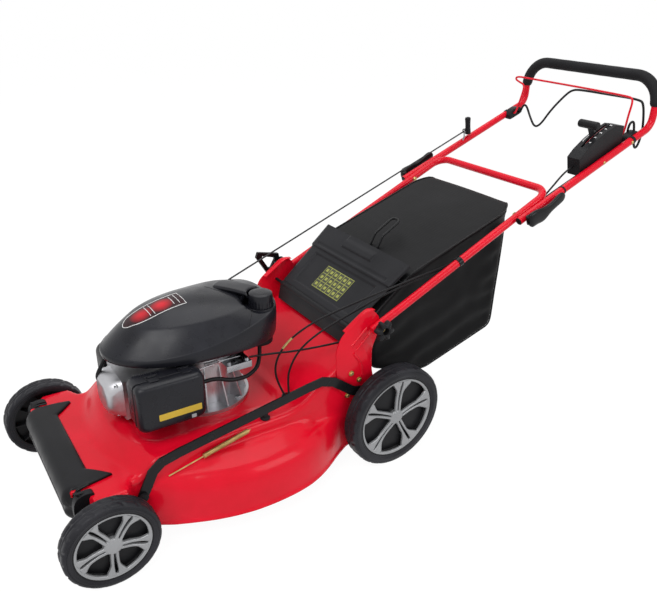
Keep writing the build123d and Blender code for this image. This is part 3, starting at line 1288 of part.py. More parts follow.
CABLE_R = 2.6
BRAKE_ROUTE = [(217.6, *holder_place(HOLDER_FRONT, CABLE_T)),
               (217.6, *holder_place(HOLDER_FRONT - 44, CABLE_T)),
               (208.0, 1440.0, 704.0), (203.0, 1320.0, 654.0), (202.0, 1180.0, 598.0),
               (200.0, 1060.0, 546.0), (202.0, 955.0, 505.0), (199.0, 850.0, 492.0),
               (196.0, 738.0, 474.0), (172.0, 640.0, 444.0), (146.0, 556.0, 410.0),
               (124.0, 500.0, 364.0), (114.0, 472.0, 312.0), (120.0, 470.0, 262.0),
               (143.0, 482.0, 226.0)]
DRIVE_ROUTE = [(224.4, *holder_place(HOLDER_FRONT, CABLE_T)),
               (224.4, *holder_place(HOLDER_FRONT - 44, CABLE_T)),
               (202.0, 1440.0, 698.0), (196.0, 1320.0, 647.0), (195.0, 1180.0, 590.0),
               (194.0, 1060.0, 538.0), (196.0, 955.0, 497.0), (195.0, 850.0, 482.0),
               (192.5, 744.0, 463.0), (176.0, 650.0, 424.0), (156.0, 574.0, 386.0),
               (138.0, 524.0, 340.0), (131.0, 500.0, 286.0), (138.0, 494.0, 252.0),
               (150.0, 490.0, 228.0)]
THROTTLE_ROUTE = [(208.0, 1368.7, 713.9), (208.0, 1340.0, 705.6), (203.0, 1296.0, 660.0),
                  (203.0, 1240.0, 615.0), (203.0, 1180.0, 594.0), (203.0, 1060.0, 556.0),
                  (203.0, 955.0, 513.0), (203.0, 860.0, 456.0), (202.0, 770.0, 402.0),
                  (191.0, 690.0, 362.0), (160.0, 622.0, 342.0), (130.0, 520.0, 334.0),
                  (116.0, 462.0, 338.0), (112.0, 404.0, 343.4)]


def make_cables():
    cables = [cord(BRAKE_ROUTE, CABLE_R, "brake cable"), cord(DRIVE_ROUTE, CABLE_R, "drive cable"),
              cord(THROTTLE_ROUTE, CABLE_R, "throttle cable")]
    keep("control_cables", *cables)


# ------------------------------------------------------------------ build and export
def build():
    make_deck()
    make_front_bumper()
    make_crankcase()
    make_head_cover()
    make_spark_plug()
    make_muffler()
    make_exhaust_guard()
    make_engine_cowl()
    make_fuel_tank()
    make_fuel_cap()
    make_dipstick()
    make_carburettor()
    make_air_cleaner()
    make_control_bracket()
    make_hose()
    make_crankshaft()
    make_recoil()
    make_transmission()
    make_front_axle()
    make_rear_axle()
    make_height_lever()
    make_linkage_bar()
    make_lift_spring()
    for name, front, way in (("front_left", True, 1), ("front_right", True, -1),
                             ("rear_left", False, 1), ("rear_right", False, -1)):
        make_wheel(name, front, way)
    make_brackets()
    make_lower_handle()
    make_upper_handle()
    make_foam_grip()
    make_bail_holders()
    make_bails()
    make_throttle()
    make_cam_levers()
    make_star_knobs()
    make_starter()
    make_flap()
    make_bag()
    make_bag_frame()
    make_nozzle()
    make_cables()


build()
os.makedirs("parts", exist_ok=True)
for node, solids in PARTS.items():
    placed = [Pos(0, -MIDDLE_Y, 0) * item for item in solids]
    shape = placed[0] if len(placed) == 1 else Compound(children=placed)
    export_step(shape, f"parts/{node}.step")
print(f"{len(PARTS)} nodes, middle at y {MIDDLE_Y:.2f}")
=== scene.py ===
import math

import bmesh
import bpy
from mathutils import Matrix, Vector, noise


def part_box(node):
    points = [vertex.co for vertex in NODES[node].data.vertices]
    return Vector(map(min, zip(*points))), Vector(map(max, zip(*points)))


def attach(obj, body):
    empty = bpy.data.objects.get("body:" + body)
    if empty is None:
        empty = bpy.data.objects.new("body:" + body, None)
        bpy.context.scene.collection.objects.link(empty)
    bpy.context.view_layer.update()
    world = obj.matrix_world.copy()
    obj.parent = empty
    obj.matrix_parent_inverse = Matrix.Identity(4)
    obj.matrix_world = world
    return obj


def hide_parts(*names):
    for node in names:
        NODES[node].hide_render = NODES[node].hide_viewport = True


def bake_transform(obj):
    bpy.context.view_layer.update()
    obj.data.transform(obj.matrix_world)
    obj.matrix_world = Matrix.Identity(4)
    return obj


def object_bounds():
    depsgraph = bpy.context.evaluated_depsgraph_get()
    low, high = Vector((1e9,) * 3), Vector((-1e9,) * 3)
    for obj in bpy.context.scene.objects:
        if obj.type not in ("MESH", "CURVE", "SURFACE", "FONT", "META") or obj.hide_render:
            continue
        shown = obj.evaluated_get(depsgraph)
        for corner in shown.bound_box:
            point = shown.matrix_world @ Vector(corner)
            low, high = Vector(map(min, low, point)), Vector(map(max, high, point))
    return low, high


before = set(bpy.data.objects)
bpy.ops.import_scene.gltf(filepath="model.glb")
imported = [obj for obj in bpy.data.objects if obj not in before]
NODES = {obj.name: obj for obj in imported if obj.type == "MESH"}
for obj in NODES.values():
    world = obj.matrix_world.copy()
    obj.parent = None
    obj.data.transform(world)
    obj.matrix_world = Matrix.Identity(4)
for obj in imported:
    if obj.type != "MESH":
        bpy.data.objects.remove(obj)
CAD_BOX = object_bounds()


# ------------------------------------------------------------------ places from the frame
def box(node):
    """Lowest corner, highest corner and centre of a CAD node."""
    low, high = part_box(node)
    return low, high, (low + high) / 2


MM = 0.001
RIGHT, REAR, UP = Vector((1, 0, 0)), Vector((0, 1, 0)), Vector((0, 0, 1))
SHIFT_Y = box("front_left_tyre")[2].y


def at(x, y, z):
    """Point in metres from millimetres measured from the front axle, as the CAD source does."""
    return Vector((x * MM, SHIFT_Y + y * MM, z * MM))


# ------------------------------------------------------------------ camera and studio
CAMERA_PLACE = at(1375.3, -225.0, 1139.6)
CAMERA_AZIMUTH = math.radians(54.02)
CAMERA_ELEVATION = math.radians(26.48)
CAMERA_ROLL = math.radians(2.354)
CAMERA_LENS = 36.94
CAMERA_SHIFT = (-0.0314, 0.0398)
FLOOR_WHITE = 0.88
FLOOR_GLOW = 1.08
FLOOR_REACH = 14.0
FLOOR_GAP = 0.0005
ROOM_LIGHT = 0.42


def make_camera():
    data = bpy.data.cameras.new("camera")
    data.lens = CAMERA_LENS
    data.sensor_width = 36.0
    data.shift_x, data.shift_y = CAMERA_SHIFT
    data.clip_start, data.clip_end = 0.05, 50.0
    cam = bpy.data.objects.new("camera", data)
    bpy.context.scene.collection.objects.link(cam)
    a, e, r = CAMERA_AZIMUTH, CAMERA_ELEVATION, CAMERA_ROLL
    back = Vector((math.sin(a) * math.cos(e), -math.cos(a) * math.cos(e), math.sin(e)))
    flat_right = Vector((math.cos(a), math.sin(a), 0.0))
    flat_up = back.cross(flat_right)
    right = math.cos(r) * flat_right + math.sin(r) * flat_up
    up = -math.sin(r) * flat_right + math.cos(r) * flat_up
    turn = Matrix((right, up, back)).transposed().to_4x4()
    cam.matrix_world = Matrix.Translation(CAMERA_PLACE) @ turn
    bpy.context.scene.camera = cam


def area_light(name, place, target, size, power):
    data = bpy.data.lights.new(name, "AREA")
    data.shape = "RECTANGLE"
    data.size, data.size_y = size
    data.energy = power
    lamp = bpy.data.objects.new(name, data)
    bpy.context.scene.collection.objects.link(lamp)
    lamp.location = place
    lamp.rotation_mode = "QUATERNION"
    lamp.rotation_quaternion = (Vector(target) - Vector(place)).to_track_quat("-Z", "Y")


def set_inputs(node, **inputs):
    """Values of a shader node's inputs, named with _ for a space."""
    for key, value in inputs.items():
        node.inputs[key.replace("_", " ")].default_value = value


def add(tree, kind, **inputs):
    """New shader node with the given input values."""
    node = tree.nodes.new("ShaderNode" + kind)
    set_inputs(node, **inputs)
    return node


def combined(tree, operation, a, b):
    """Result of a math node on two outputs."""
    node = add(tree, "Math")
    node.operation = operation
    tree.links.new(a, node.inputs[0])
    tree.links.new(b, node.inputs[1])
    return node.outputs[0]


def seen_ray(tree):
    """1 for rays that the camera, a glossy face or glass sends, 0 for the light on matt faces."""
    path = add(tree, "LightPath")
    source = path.outputs["Is Camera Ray"]
    for ray in ("Is Glossy Ray", "Is Transmission Ray"):
        source = combined(tree, "MAXIMUM", source, path.outputs[ray])
    return source


def camera_white(tree, shader, lit_strength):
    """White where the camera or a reflection looks, and a plain level everywhere else."""
    level = add(tree, "MapRange", To_Min=lit_strength, To_Max=1.0)
    tree.links.new(seen_ray(tree), level.inputs["Value"])
    tree.links.new(level.outputs["Result"], shader.inputs["Strength"])


def make_studio():
    world = bpy.data.worlds.new("studio")
    bpy.context.scene.world = world
    world.use_nodes = True
    back = world.node_tree.nodes["Background"]
    back.inputs["Color"].default_value = (1, 1, 1, 1)
    camera_white(world.node_tree, back, ROOM_LIGHT)
    low, high = CAD_BOX
    mid = (low + high) / 2
    area_light("key", mid + Vector((1.2, -2.2, 2.6)), mid, (2.4, 1.6), 58.0)
    area_light("side", mid + Vector((2.8, 1.2, 1.6)), mid, (1.6, 1.6), 26.0)
    area_light("top", mid + Vector((-0.6, 0.2, 3.0)), mid, (2.6, 2.6), 42.0)
    floor = bpy.data.meshes.new("floor")
    signs = ((-1, -1), (1, -1), (1, 1), (-1, 1))
    corners = [(x * FLOOR_REACH, y * FLOOR_REACH, 0) for x, y in signs]
    floor.from_pydata(corners, [], [(0, 1, 2, 3)])
    piece = bpy.data.objects.new("floor", floor)
    bpy.context.scene.collection.objects.link(piece)
    piece.location.z = low.z - FLOOR_GAP
    mat, tree, bsdf = shader_parts("floor")
    set_inputs(bsdf, Base_Color=(0.93, 0.93, 0.93, 1), Roughness=0.9, Specular_IOR_Level=0.1)
    glow = add(tree, "Emission", Strength=FLOOR_GLOW)
    seen = add(tree, "Math")
    seen.operation = "MULTIPLY"
    seen.inputs[1].default_value = FLOOR_WHITE
    tree.links.new(seen_ray(tree), seen.inputs[0])
    mix = add(tree, "MixShader")
    tree.links.new(seen.outputs[0], mix.inputs["Fac"])
    tree.links.new(bsdf.outputs[0], mix.inputs[1])
    tree.links.new(glow.outputs[0], mix.inputs[2])
    tree.links.new(mix.outputs[0], tree.nodes["Material Output"].inputs["Surface"])
    floor.materials.append(mat)
    bpy.context.scene.view_settings.view_transform = "Standard"


# ------------------------------------------------------------------ materials
def shader_parts(name):
    mat = bpy.data.materials.new(name)
    mat.use_nodes = True
    tree = mat.node_tree
    return mat, tree, tree.nodes["Principled BSDF"]


def object_coords(tree):
    return add(tree, "TexCoord").outputs["Object"]


def noise_of(tree, scale, detail, rough=0.5):
    node = add(tree, "TexNoise", Scale=scale, Detail=detail, Roughness=rough)
    tree.links.new(object_coords(tree), node.inputs["Vector"])
    return node.outputs["Fac"]


def ramp(tree, source, stops):
    node = tree.nodes.new("ShaderNodeValToRGB")
    band = node.color_ramp
    while len(band.elements) < len(stops):
        band.elements.new(0.5)
    for element, (place, colour) in zip(band.elements, stops):
        element.position = place
        element.color = (*colour, 1.0)
    tree.links.new(source, node.inputs["Fac"])
    return node.outputs["Color"]


def remap(tree, source, low, high, to_low, to_high):
    node = add(tree, "MapRange", From_Min=low, From_Max=high, To_Min=to_low, To_Max=to_high)
    tree.links.new(source, node.inputs["Value"])
    return node.outputs["Result"]


def bump(tree, bsdf, height, strength, distance):
    node = add(tree, "Bump", Strength=strength, Distance=distance)
    tree.links.new(height, node.inputs["Height"])
    tree.links.new(node.outputs["Normal"], bsdf.inputs["Normal"])


def surface(name, dark, light, rough, metal=0.0, coat=0.0, grain=300.0, patch=9.0, bumpy=0.15,
            spread=0.06, specular=0.5, depth=0.0002):
    """Plain material: patchy colour between two tones, varied roughness and a fine grain."""
    mat, tree, bsdf = shader_parts(name)
    tone = noise_of(tree, patch, 4.0, 0.6)
    tree.links.new(ramp(tree, tone, [(0.3, dark), (0.7, light)]), bsdf.inputs["Base Color"])
    tree.links.new(remap(tree, noise_of(tree, patch * 4, 3.0), 0.3, 0.7, max(rough - spread, 0.02),
                         rough + spread), bsdf.inputs["Roughness"])
    set_inputs(bsdf, Metallic=metal, Specular_IOR_Level=specular, Coat_Weight=coat,
               Coat_Roughness=0.06)
    bump(tree, bsdf, noise_of(tree, grain, 3.0), bumpy, depth)
    return mat


THREAD_PITCH = 0.0011


def weave_material(name, dark, light, rough=0.62, sheen=0.06):
    """Woven cloth: crossing threads from two sine bands, with slow colour patches."""
    mat, tree, bsdf = shader_parts(name)
    bands = []
    for direction in ("X", "Z"):
        wave = add(tree, "TexWave", Scale=0.314 / THREAD_PITCH / 10, Distortion=0.6, Detail=1.0)
        wave.bands_direction = direction
        tree.links.new(object_coords(tree), wave.inputs["Vector"])
        bands.append(wave.outputs["Fac"])
    both = combined(tree, "MULTIPLY", *bands)
    tone = noise_of(tree, 5.0, 5.0, 0.6)
    tree.links.new(ramp(tree, tone, [(0.35, dark), (0.7, light)]), bsdf.inputs["Base Color"])
    set_inputs(bsdf, Roughness=rough, Specular_IOR_Level=0.1, Sheen_Weight=sheen)
    bump(tree, bsdf, both, 0.25, 0.0003)
    return mat


def glow_material(name, ground, colour, middles, reach):
    """Dark panel with soft round patches of colour about the given points."""
    mat, tree, bsdf = shader_parts(name)
    total = None
    for middle in middles:
        gap = add(tree, "VectorMath")
        gap.operation = "DISTANCE"
        tree.links.new(object_coords(tree), gap.inputs[0])
        gap.inputs[1].default_value = middle
        near = remap(tree, gap.outputs["Value"], reach * 0.25, reach, 1.0, 0.0)
        total = near if total is None else combined(tree, "MAXIMUM", total, near)
    tree.links.new(ramp(tree, total, [(0.0, ground), (1.0, colour)]), bsdf.inputs["Base Color"])
    set_inputs(bsdf, Roughness=0.35, Specular_IOR_Level=0.15)
    return mat


def make_materials():
    return {
        "red_paint": surface("red_paint", (0.66, 0.0025, 0.016), (0.76, 0.004, 0.023), 0.22,
                             coat=0.12, grain=160.0, bumpy=0.02, spread=0.03, specular=0.14),
        "satin_black": surface("satin_black", (0.008, 0.008, 0.009), (0.015, 0.015, 0.017), 0.40,
                               specular=0.13),
        "gloss_black": surface("gloss_black", (0.005, 0.005, 0.006), (0.010, 0.010, 0.011), 0.24,
                               coat=0.05, specular=0.15),
        "cowl_grey": surface("cowl_grey", (0.0065, 0.0067, 0.0095), (0.0125, 0.013, 0.018), 0.30,
                             grain=700.0, bumpy=0.08, specular=0.24),
        "flap_grey": surface("flap_grey", (0.014, 0.014, 0.016), (0.022, 0.022, 0.025), 0.46,
                             grain=900.0, bumpy=0.25, specular=0.12),
        "cast": surface("cast", (0.42, 0.42, 0.44), (0.56, 0.56, 0.58), 0.34, metal=0.9,
                        grain=520.0, patch=22.0, bumpy=0.22, spread=0.05),
        "steel": surface("steel", (0.34, 0.35, 0.37), (0.50, 0.51, 0.53), 0.28, metal=1.0,
                         grain=500.0),
        "zinc_gold": surface("zinc_gold", (0.36, 0.25, 0.09), (0.62, 0.47, 0.20), 0.34,
                             metal=0.9, patch=50.0),
        "silver_plastic": surface("silver_plastic", (0.27, 0.274, 0.283), (0.33, 0.335, 0.345),
                                  0.36, metal=0.45, grain=800.0),
        "tyre": surface("tyre", (0.011, 0.011, 0.014), (0.030, 0.030, 0.035), 0.42, grain=260.0,
                        bumpy=0.3, specular=0.15),
        "foam": surface("foam", (0.007, 0.007, 0.008), (0.016, 0.016, 0.018), 0.66,
                        grain=1200.0, bumpy=0.7, depth=0.0005, specular=0.15),
        "cable": surface("cable", (0.006, 0.006, 0.007), (0.012, 0.012, 0.013), 0.34,
                         specular=0.15),
        "rope": surface("rope", (0.010, 0.010, 0.011), (0.040, 0.040, 0.042), 0.7,
                        grain=1500.0, bumpy=0.8, depth=0.0005),
        "badge_glow": glow_material("badge_glow", (0.022, 0.006, 0.008), (0.60, 0.012, 0.024),
                                    [at(0, 190, 469), at(0, 240, 478)], 0.030),
        "badge_red": surface("badge_red", (0.30, 0.012, 0.020), (0.46, 0.018, 0.030), 0.30,
                             coat=0.5, patch=16.0),
        "label_yellow": surface("label_yellow", (0.55, 0.36, 0.02), (0.66, 0.44, 0.03), 0.45),
        "label_olive": surface("label_olive", (0.28, 0.30, 0.05), (0.36, 0.38, 0.08), 0.5),
        "label_dark": surface("label_dark", (0.030, 0.032, 0.014), (0.040, 0.042, 0.020), 0.5),
        "white_mark": surface("white_mark", (0.70, 0.70, 0.70), (0.80, 0.80, 0.80), 0.5),
        "label_grey": surface("label_grey", (0.30, 0.30, 0.31), (0.40, 0.40, 0.41), 0.5),
        "cloth": weave_material("cloth", (0.0016, 0.0016, 0.0020), (0.0040, 0.0040, 0.0046)),
        # lid cloth: the lid is its own smoother panel, and its lighter tone than the side cloth is
        # partly painted light from above
        "lid_cloth_painted_light": weave_material("lid_cloth_painted_light", (0.0030, 0.0030, 0.0036), (0.0075, 0.0075, 0.0086),
                                    rough=0.40, sheen=0.0),
    }


MATERIALS = {}
FINISHES = {
    "red_paint": "deck_shell handle_brackets lower_handle upper_handle drive_bail",
    "gloss_black": "blade_bail height_lever linkage_bar bag_frame",
    "satin_black": "front_bumper exhaust_guard fuel_tank gearbox wash_nozzle front_axle "
                   "rear_axle bail_holders throttle_box throttle_lever cam_lever_left "
                   "cam_lever_right handle_knob_left handle_knob_right starter_grip "
                   "recoil_pulley oil_filler_cap",
    "cast": "crankcase cylinder_head_cover carburettor flywheel",
    "cowl_grey": "engine_cowl air_cleaner_case air_cleaner_cover fuel_cap",
    "steel": "muffler control_bracket crankshaft blade_adapter cutting_blade blade_bolt "
             "drive_shaft gearbox_pulley",
    "cable": "fuel_hose spark_plug drive_belt control_cables",
    "foam": "air_filter foam_grip",
    "zinc_gold": "lift_spring",
    "rope": "starter_rope",
    "flap_grey": "rear_flap",
    "cloth": "grass_bag",
    "tyre": "front_left_tyre front_right_tyre rear_left_tyre rear_right_tyre",
    "silver_plastic": "front_left_wheel front_right_wheel rear_left_wheel rear_right_wheel",
}
SHADES = {node: finish for finish, nodes in FINISHES.items() for node in nodes.split()}


def paint(obj, name):
    obj.data.materials.clear()
    obj.data.materials.append(MATERIALS[name])


def dress_nodes():
    for name, obj in NODES.items():
        paint(obj, SHADES[name])
    for name in ("height_lever", "throttle_box", "throttle_lever", "linkage_bar",
                 "control_bracket"):
        edge = NODES[name].modifiers.new("edges", "BEVEL")
        edge.width = 0.9 * MM
        edge.segments = 2
        edge.limit_method = "ANGLE"
        edge.harden_normals = True


# ------------------------------------------------------------------ mesh tools
def catmull(knots, x):
    """Smooth value at x through (x, value) knots, flat slope beyond the ends."""
    if x <= knots[0][0]:
        return knots[0][1]
    if x >= knots[-1][0]:
        return knots[-1][1]
    k = max(i for i, knot in enumerate(knots) if knot[0] <= x)
    x0, v0 = knots[k]
    x1, v1 = knots[k + 1]

    def slope(i):
        if i == 0 or i == len(knots) - 1:
            return 0.0
        (xa, va), (xb, vb), (xc, vc) = knots[i - 1:i + 2]
        left, right = (vb - va) / (xb - xa), (vc - vb) / (xc - xb)
        if left * right <= 0:
            return 0.0
        return 2 * left * right / (left + right)

    h = x1 - x0
    t = (x - x0) / h
    return (v0 * (1 + 2 * t) * (1 - t) ** 2 + slope(k) * h * t * (1 - t) ** 2
            + v1 * t * t * (3 - 2 * t) + slope(k + 1) * h * t * t * (t - 1))


def smooth(low, high, x):
    """Soft step from 0 at low to 1 at high."""
    t = min(max((x - low) / (high - low), 0.0), 1.0)
    return t * t * (3 - 2 * t)


def spaced(low, high, step):
    """Evenly spaced values from low to high, about a step apart."""
    count = max(int(round((high - low) / step)), 1)
    return [low + (high - low) * i / count for i in range(count + 1)]


def soften(points):
    """Corner cutting on an open polyline, twice over, keeping its ends."""
    for _ in range(2):
        out = [points[0]]
        for a, b in zip(points, points[1:]):
            out += [a * 0.75 + b * 0.25, a * 0.25 + b * 0.75]
        points = out + [points[-1]]
    return points


def resampled(points, count):
    """Evenly spaced points along an open polyline."""
    lengths = [0.0]
    for a, b in zip(points, points[1:]):
        lengths.append(lengths[-1] + (b - a).length)
    out = []
    k = 0
    for i in range(count):
        want = lengths[-1] * i / (count - 1)
        while k < len(points) - 2 and lengths[k + 1] < want:
            k += 1
        span = max(lengths[k + 1] - lengths[k], 1e-9)
        t = (want - lengths[k]) / span
        out.append(points[k].lerp(points[k + 1], min(t, 1.0)))
    return out


def turns(count):
    """Angles of a full turn in equal steps."""
    return [2 * math.pi * k / count for k in range(count)]


def length_of(line):
    return sum((b - a).length for a, b in zip(line, line[1:]))


WELD = 0.02


class Builder:
    """Collects vertices and faces, each face with its material, and makes one object."""

    def __init__(self):
        self.points = []
        self.faces = []
        self.tones = []

    def face(self, corners, tone=0):
        """One face; tone is the place of its finish in the list given to make."""
        self.faces.append(tuple(corners))
        self.tones.append(tone)

    def grid(self, rows, tone=0, around=False, ends=False, along=False):
        """Surface through rows of points; around joins each row's ends, along joins the last
        row to the first, ends closes the first and the last row with a face."""
        start = len(self.points)
        wide = len(rows[0])
        for row in rows:
            self.points += row
        count = len(rows)
        for i in range(count if along else count - 1):
            for j in range(wide if around else wide - 1):
                a = start + i * wide + j
                b = start + i * wide + (j + 1) % wide
                low = ((i + 1) % count) * wide
                c = start + low + (j + 1) % wide
                d = start + low + j
                self.face((a, b, c, d), tone)
        if ends:
            for i in (0, count - 1):
                self.face((start + i * wide + j for j in range(wide)), tone)

    def lathe(self, profile, centre, axis, sides, tone=0, wave=None):
        """Turned ring: profile is (radius, distance along axis) in mm; wave(turn, r, a) gives
        the radius where it varies."""
        step = axis * MM
        across = step.orthogonal().normalized()
        other = step.normalized().cross(across)
        rows = []
        for r, a in profile:
            rows.append([])
            for turn in turns(sides):
                size = (wave(turn, r, a) if wave else r) * MM
                out = across * math.cos(turn) + other * math.sin(turn)
                rows[-1].append(centre + step * a + out * size)
        self.grid(rows, tone, around=True)

    def sweep(self, line, radius, sides, tone=0, ends=True):
        """Round bar along a line; radius, in mm, is a number or a function of the share of the
        line's length."""
        last = len(line) - 1
        tangents = [(line[min(i + 1, last)] - line[max(i - 1, 0)]).normalized()
                    for i in range(len(line))]
        normal = tangents[0].orthogonal().normalized()
        rows = []
        for i, (p, t) in enumerate(zip(line, tangents)):
            normal = (normal - t * normal.dot(t)).normalized()
            side = t.cross(normal)
            size = (radius(i / last) if callable(radius) else radius) * MM
            rows.append([p + (normal * math.cos(turn) + side * math.sin(turn)) * size
                         for turn in turns(sides)])
        self.grid(rows, tone, around=True, ends=ends)

    def block(self, low, high):
        """Upright box between two corners in mm."""
        (x0, y0, z0), (x1, y1, z1) = low, high
        ring = [(x0, y0), (x1, y0), (x1, y1), (x0, y1)]
        self.grid([[at(x, y, z) for x, y in ring] for z in (z0, z1)], around=True, ends=True)

    def prism(self, outline, push, tone=0):
        """Closed outline of 3-D points pushed along a vector."""
        self.grid([list(outline), [p + push for p in outline]], tone, around=True, ends=True)

    def mirror_x(self):
        """Adds the mirror image of everything so far."""
        start = len(self.points)
        self.points += [Vector((-p.x, p.y, p.z)) for p in self.points[:start]]
        for face, tone in list(zip(self.faces, self.tones)):
            self.face((start + k for k in reversed(face)), tone)

    def middle(self, face):
        return sum((self.points[v] for v in face), Vector()) / len(face)

    def drop(self, unwanted):
        """Takes out the faces for which unwanted(face) is true."""
        kept = [pair for pair in zip(self.faces, self.tones) if not unwanted(pair[0])]
        self.faces, self.tones = [face for face, _ in kept], [tone for _, tone in kept]

    def make(self, name, body, finishes, slot, replaced=(), bevel=0.0, solid=0.0, seams=0.6):
        """Object from everything collected: bevel and wall thickness in mm, seams in radians."""
        mesh = bpy.data.meshes.new(name)
        mesh.from_pydata([tuple(p) for p in self.points], [], self.faces)
        for finish in finishes:
            mesh.materials.append(MATERIALS[finish])
        mesh.polygons.foreach_set("material_index", self.tones)
        work = bmesh.new()
        work.from_mesh(mesh)
        bmesh.ops.remove_doubles(work, verts=work.verts, dist=WELD * MM)
        bmesh.ops.recalc_face_normals(work, faces=work.faces)
        work.to_mesh(mesh)
        work.free()
        obj = bpy.data.objects.new(name, mesh)
        bpy.context.scene.collection.objects.link(obj)
        if solid:
            wall = obj.modifiers.new("wall", "SOLIDIFY")
            wall.thickness = solid * MM
            wall.offset = -1.0
        if bevel:
            edge = obj.modifiers.new("edges", "BEVEL")
            edge.width = bevel * MM
            edge.segments = 3
            edge.limit_method = "ANGLE"
            edge.angle_limit = seams
        shade(mesh, seams)
        if body:
            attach(obj, body)
        if replaced:
            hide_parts(*replaced)
        return obj


def shade(mesh, limit):
    """Smooth faces, with sharp edges kept where the surface turns by more than the limit."""
    mesh.shade_smooth()
    work = bmesh.new()
    work.from_mesh(mesh)
    for edge in work.edges:
        if len(edge.link_faces) == 2 and edge.calc_face_angle() > limit:
            edge.smooth = False
    work.to_mesh(mesh)
    work.free()


def spline(points, step):
    """Smooth line whose control points are the given route, as Blender's own NURBS gives it."""
    data = bpy.data.curves.new("line", "CURVE")
    data.dimensions = "3D"
    strand = data.splines.new("NURBS")
    strand.points.add(len(points) - 1)
    for knot, p in zip(strand.points, points):
        knot.co = (*p, 1.0)
    strand.order_u = 3
    strand.use_endpoint_u = True
    strand.resolution_u = 12
    carrier = bpy.data.objects.new("line", data)
    bpy.context.scene.collection.objects.link(carrier)
    mesh = bpy.data.meshes.new_from_object(carrier)
    line = [v.co.copy() for v in mesh.vertices]
    bpy.data.objects.remove(carrier)
    bpy.data.curves.remove(data)
    bpy.data.meshes.remove(mesh)
    return resampled(line, max(int(length_of(line) / (step * MM)), 8))


def bent(points, bends, step):
    """Line along straight runs joined by arcs of the given radii, as a bent tube follows."""
    line = [points[0]]
    for k in range(1, len(points) - 1):
        here = points[k]
        a = (points[k - 1] - here).normalized()
        b = (points[k + 1] - here).normalized()
        half = a.angle(b) / 2
        radius = bends[k - 1] * MM
        cut = radius / math.tan(half)
        start, end = here + a * cut, here + b * cut
        centre = here + (a + b).normalized() * (radius / math.sin(half))
        for t in spaced(0.0, 1.0, 0.1):
            arm = (start - centre).lerp(end - centre, t).normalized() * radius
            line.append(centre + arm)
    line.append(points[-1])
    return resampled(line, max(int(length_of(line) / (step * MM)), 8))


# ------------------------------------------------------------------ deck
LIP = [(60.0, 204.0), (84.0, 210.0), (113.0, 222.0), (147.0, 238.0), (190.0, 257.0),
       (235.0, 274.0), (280.0, 286.0), (330.0, 293.5), (370.0, 295.0), (415.0, 293.0),
       (462.0, 286.0), (500.0, 274.0), (530.0, 260.0), (558.0, 244.0), (585.0, 227.0),
       (612.0, 213.0), (640.0, 206.0), (690.0, 205.5)]
DECK_TOP = [(440.0, 216.0), (480.0, 222.0), (540.0, 258.0), (600.0, 298.0), (640.0, 323.0),
            (655.0, 329.0), (690.0, 330.0)]
WALL_X = 204.0
RECESS = (148.0, 126.0, 470.0)


def deck_top(x, y):
    """Height of the deck's upper face: apron, sloping front, plateau with rim, and chute."""
    foot = 38.0 + 40.0 * (x / 175.0) ** 2
    edge = 90.0 + 44.0 * (x / 190.0) ** 2
    plateau = 184.0 + 31.0 * smooth(foot, edge, y)
    half, y0, y1 = RECESS
    outside = max(abs(x) - half, y0 - y, y - y1)
    corner = 46.0
    dx, dy = abs(x) - half + corner, max(y0 - y, y - y1) + corner
    if dx > 0 and dy > 0:
        outside = math.hypot(dx, dy) - corner
    rim = smooth(-7.0, 3.0, outside) * (1 - smooth(10.0, 34.0, outside))
    plateau += 4.5 * rim
    rise = catmull(DECK_TOP, y) - 216.0
    return plateau + max(rise, 0.0)


def deck_section(y):
    """Half section at y, from the middle out over the edge, down the wall and round the bulge."""
    lip = catmull(LIP, y)
    points = []
    wing = 32.0 * smooth(-19.0, -9.0, y) * (1 - smooth(52.0, 74.0, y))
    cut = 30.0 * (1 - smooth(-42.0, -18.0, y))
    edge_x = 196.0 + wing - cut
    for x in spaced(0.0, 186.0, 9.0):
        points.append((x, deck_top(x, y)))
    top = deck_top(190.0, y)
    drop = 7.0 + 5.0 * smooth(40.0, 90.0, y)
    points += [(edge_x - 2.0, top - 0.6), (edge_x + 4.0, top - drop * 0.35),
               (edge_x + 7.5, top - drop)]
    wall = WALL_X + wing * 0.99 - cut
    shelf = 171.0 - 34.0 * (1 - smooth(20.0, 110.0, y)) - 40.0 * smooth(628.0, 652.0, y)
    for share in (0.2, 0.5, 0.8):
        points.append((wall, top - drop - (top - drop - shelf - 8.0) * share))
    low = 55.0 + 78.0 * (1 - smooth(34.0, 112.0, y)) + 121.0 * smooth(640.0, 656.0, y)
    levels = [(0.97, 52.0), (0.90, 30.0), (0.75, 14.0), (0.56, 6.0), (0.30, 2.0), (0.09, 0.0)]
    width = max(lip - wall, 0.6)
    scale = min(1.0, width / 56.0)
    low = min(low, shelf - 6.0)
    for share, inset in levels:
        edge = lip + (0 if wing < 1 else wing) - inset * scale * 0.98
        points.append((max(edge, wall + 0.2), low + (shelf - low) * share))
    flare = 5.0 * smooth(100.0, 150.0, y) * (1 - smooth(600.0, 640.0, y))
    side = max(lip + wing, wall + 0.2)
    points += [(side + flare * 0.4, low + 4.0), (side + flare, low + 1.5),
               (side + flare, low - 1.0)]
    return [Vector((x, y, z)) for x, z in points]


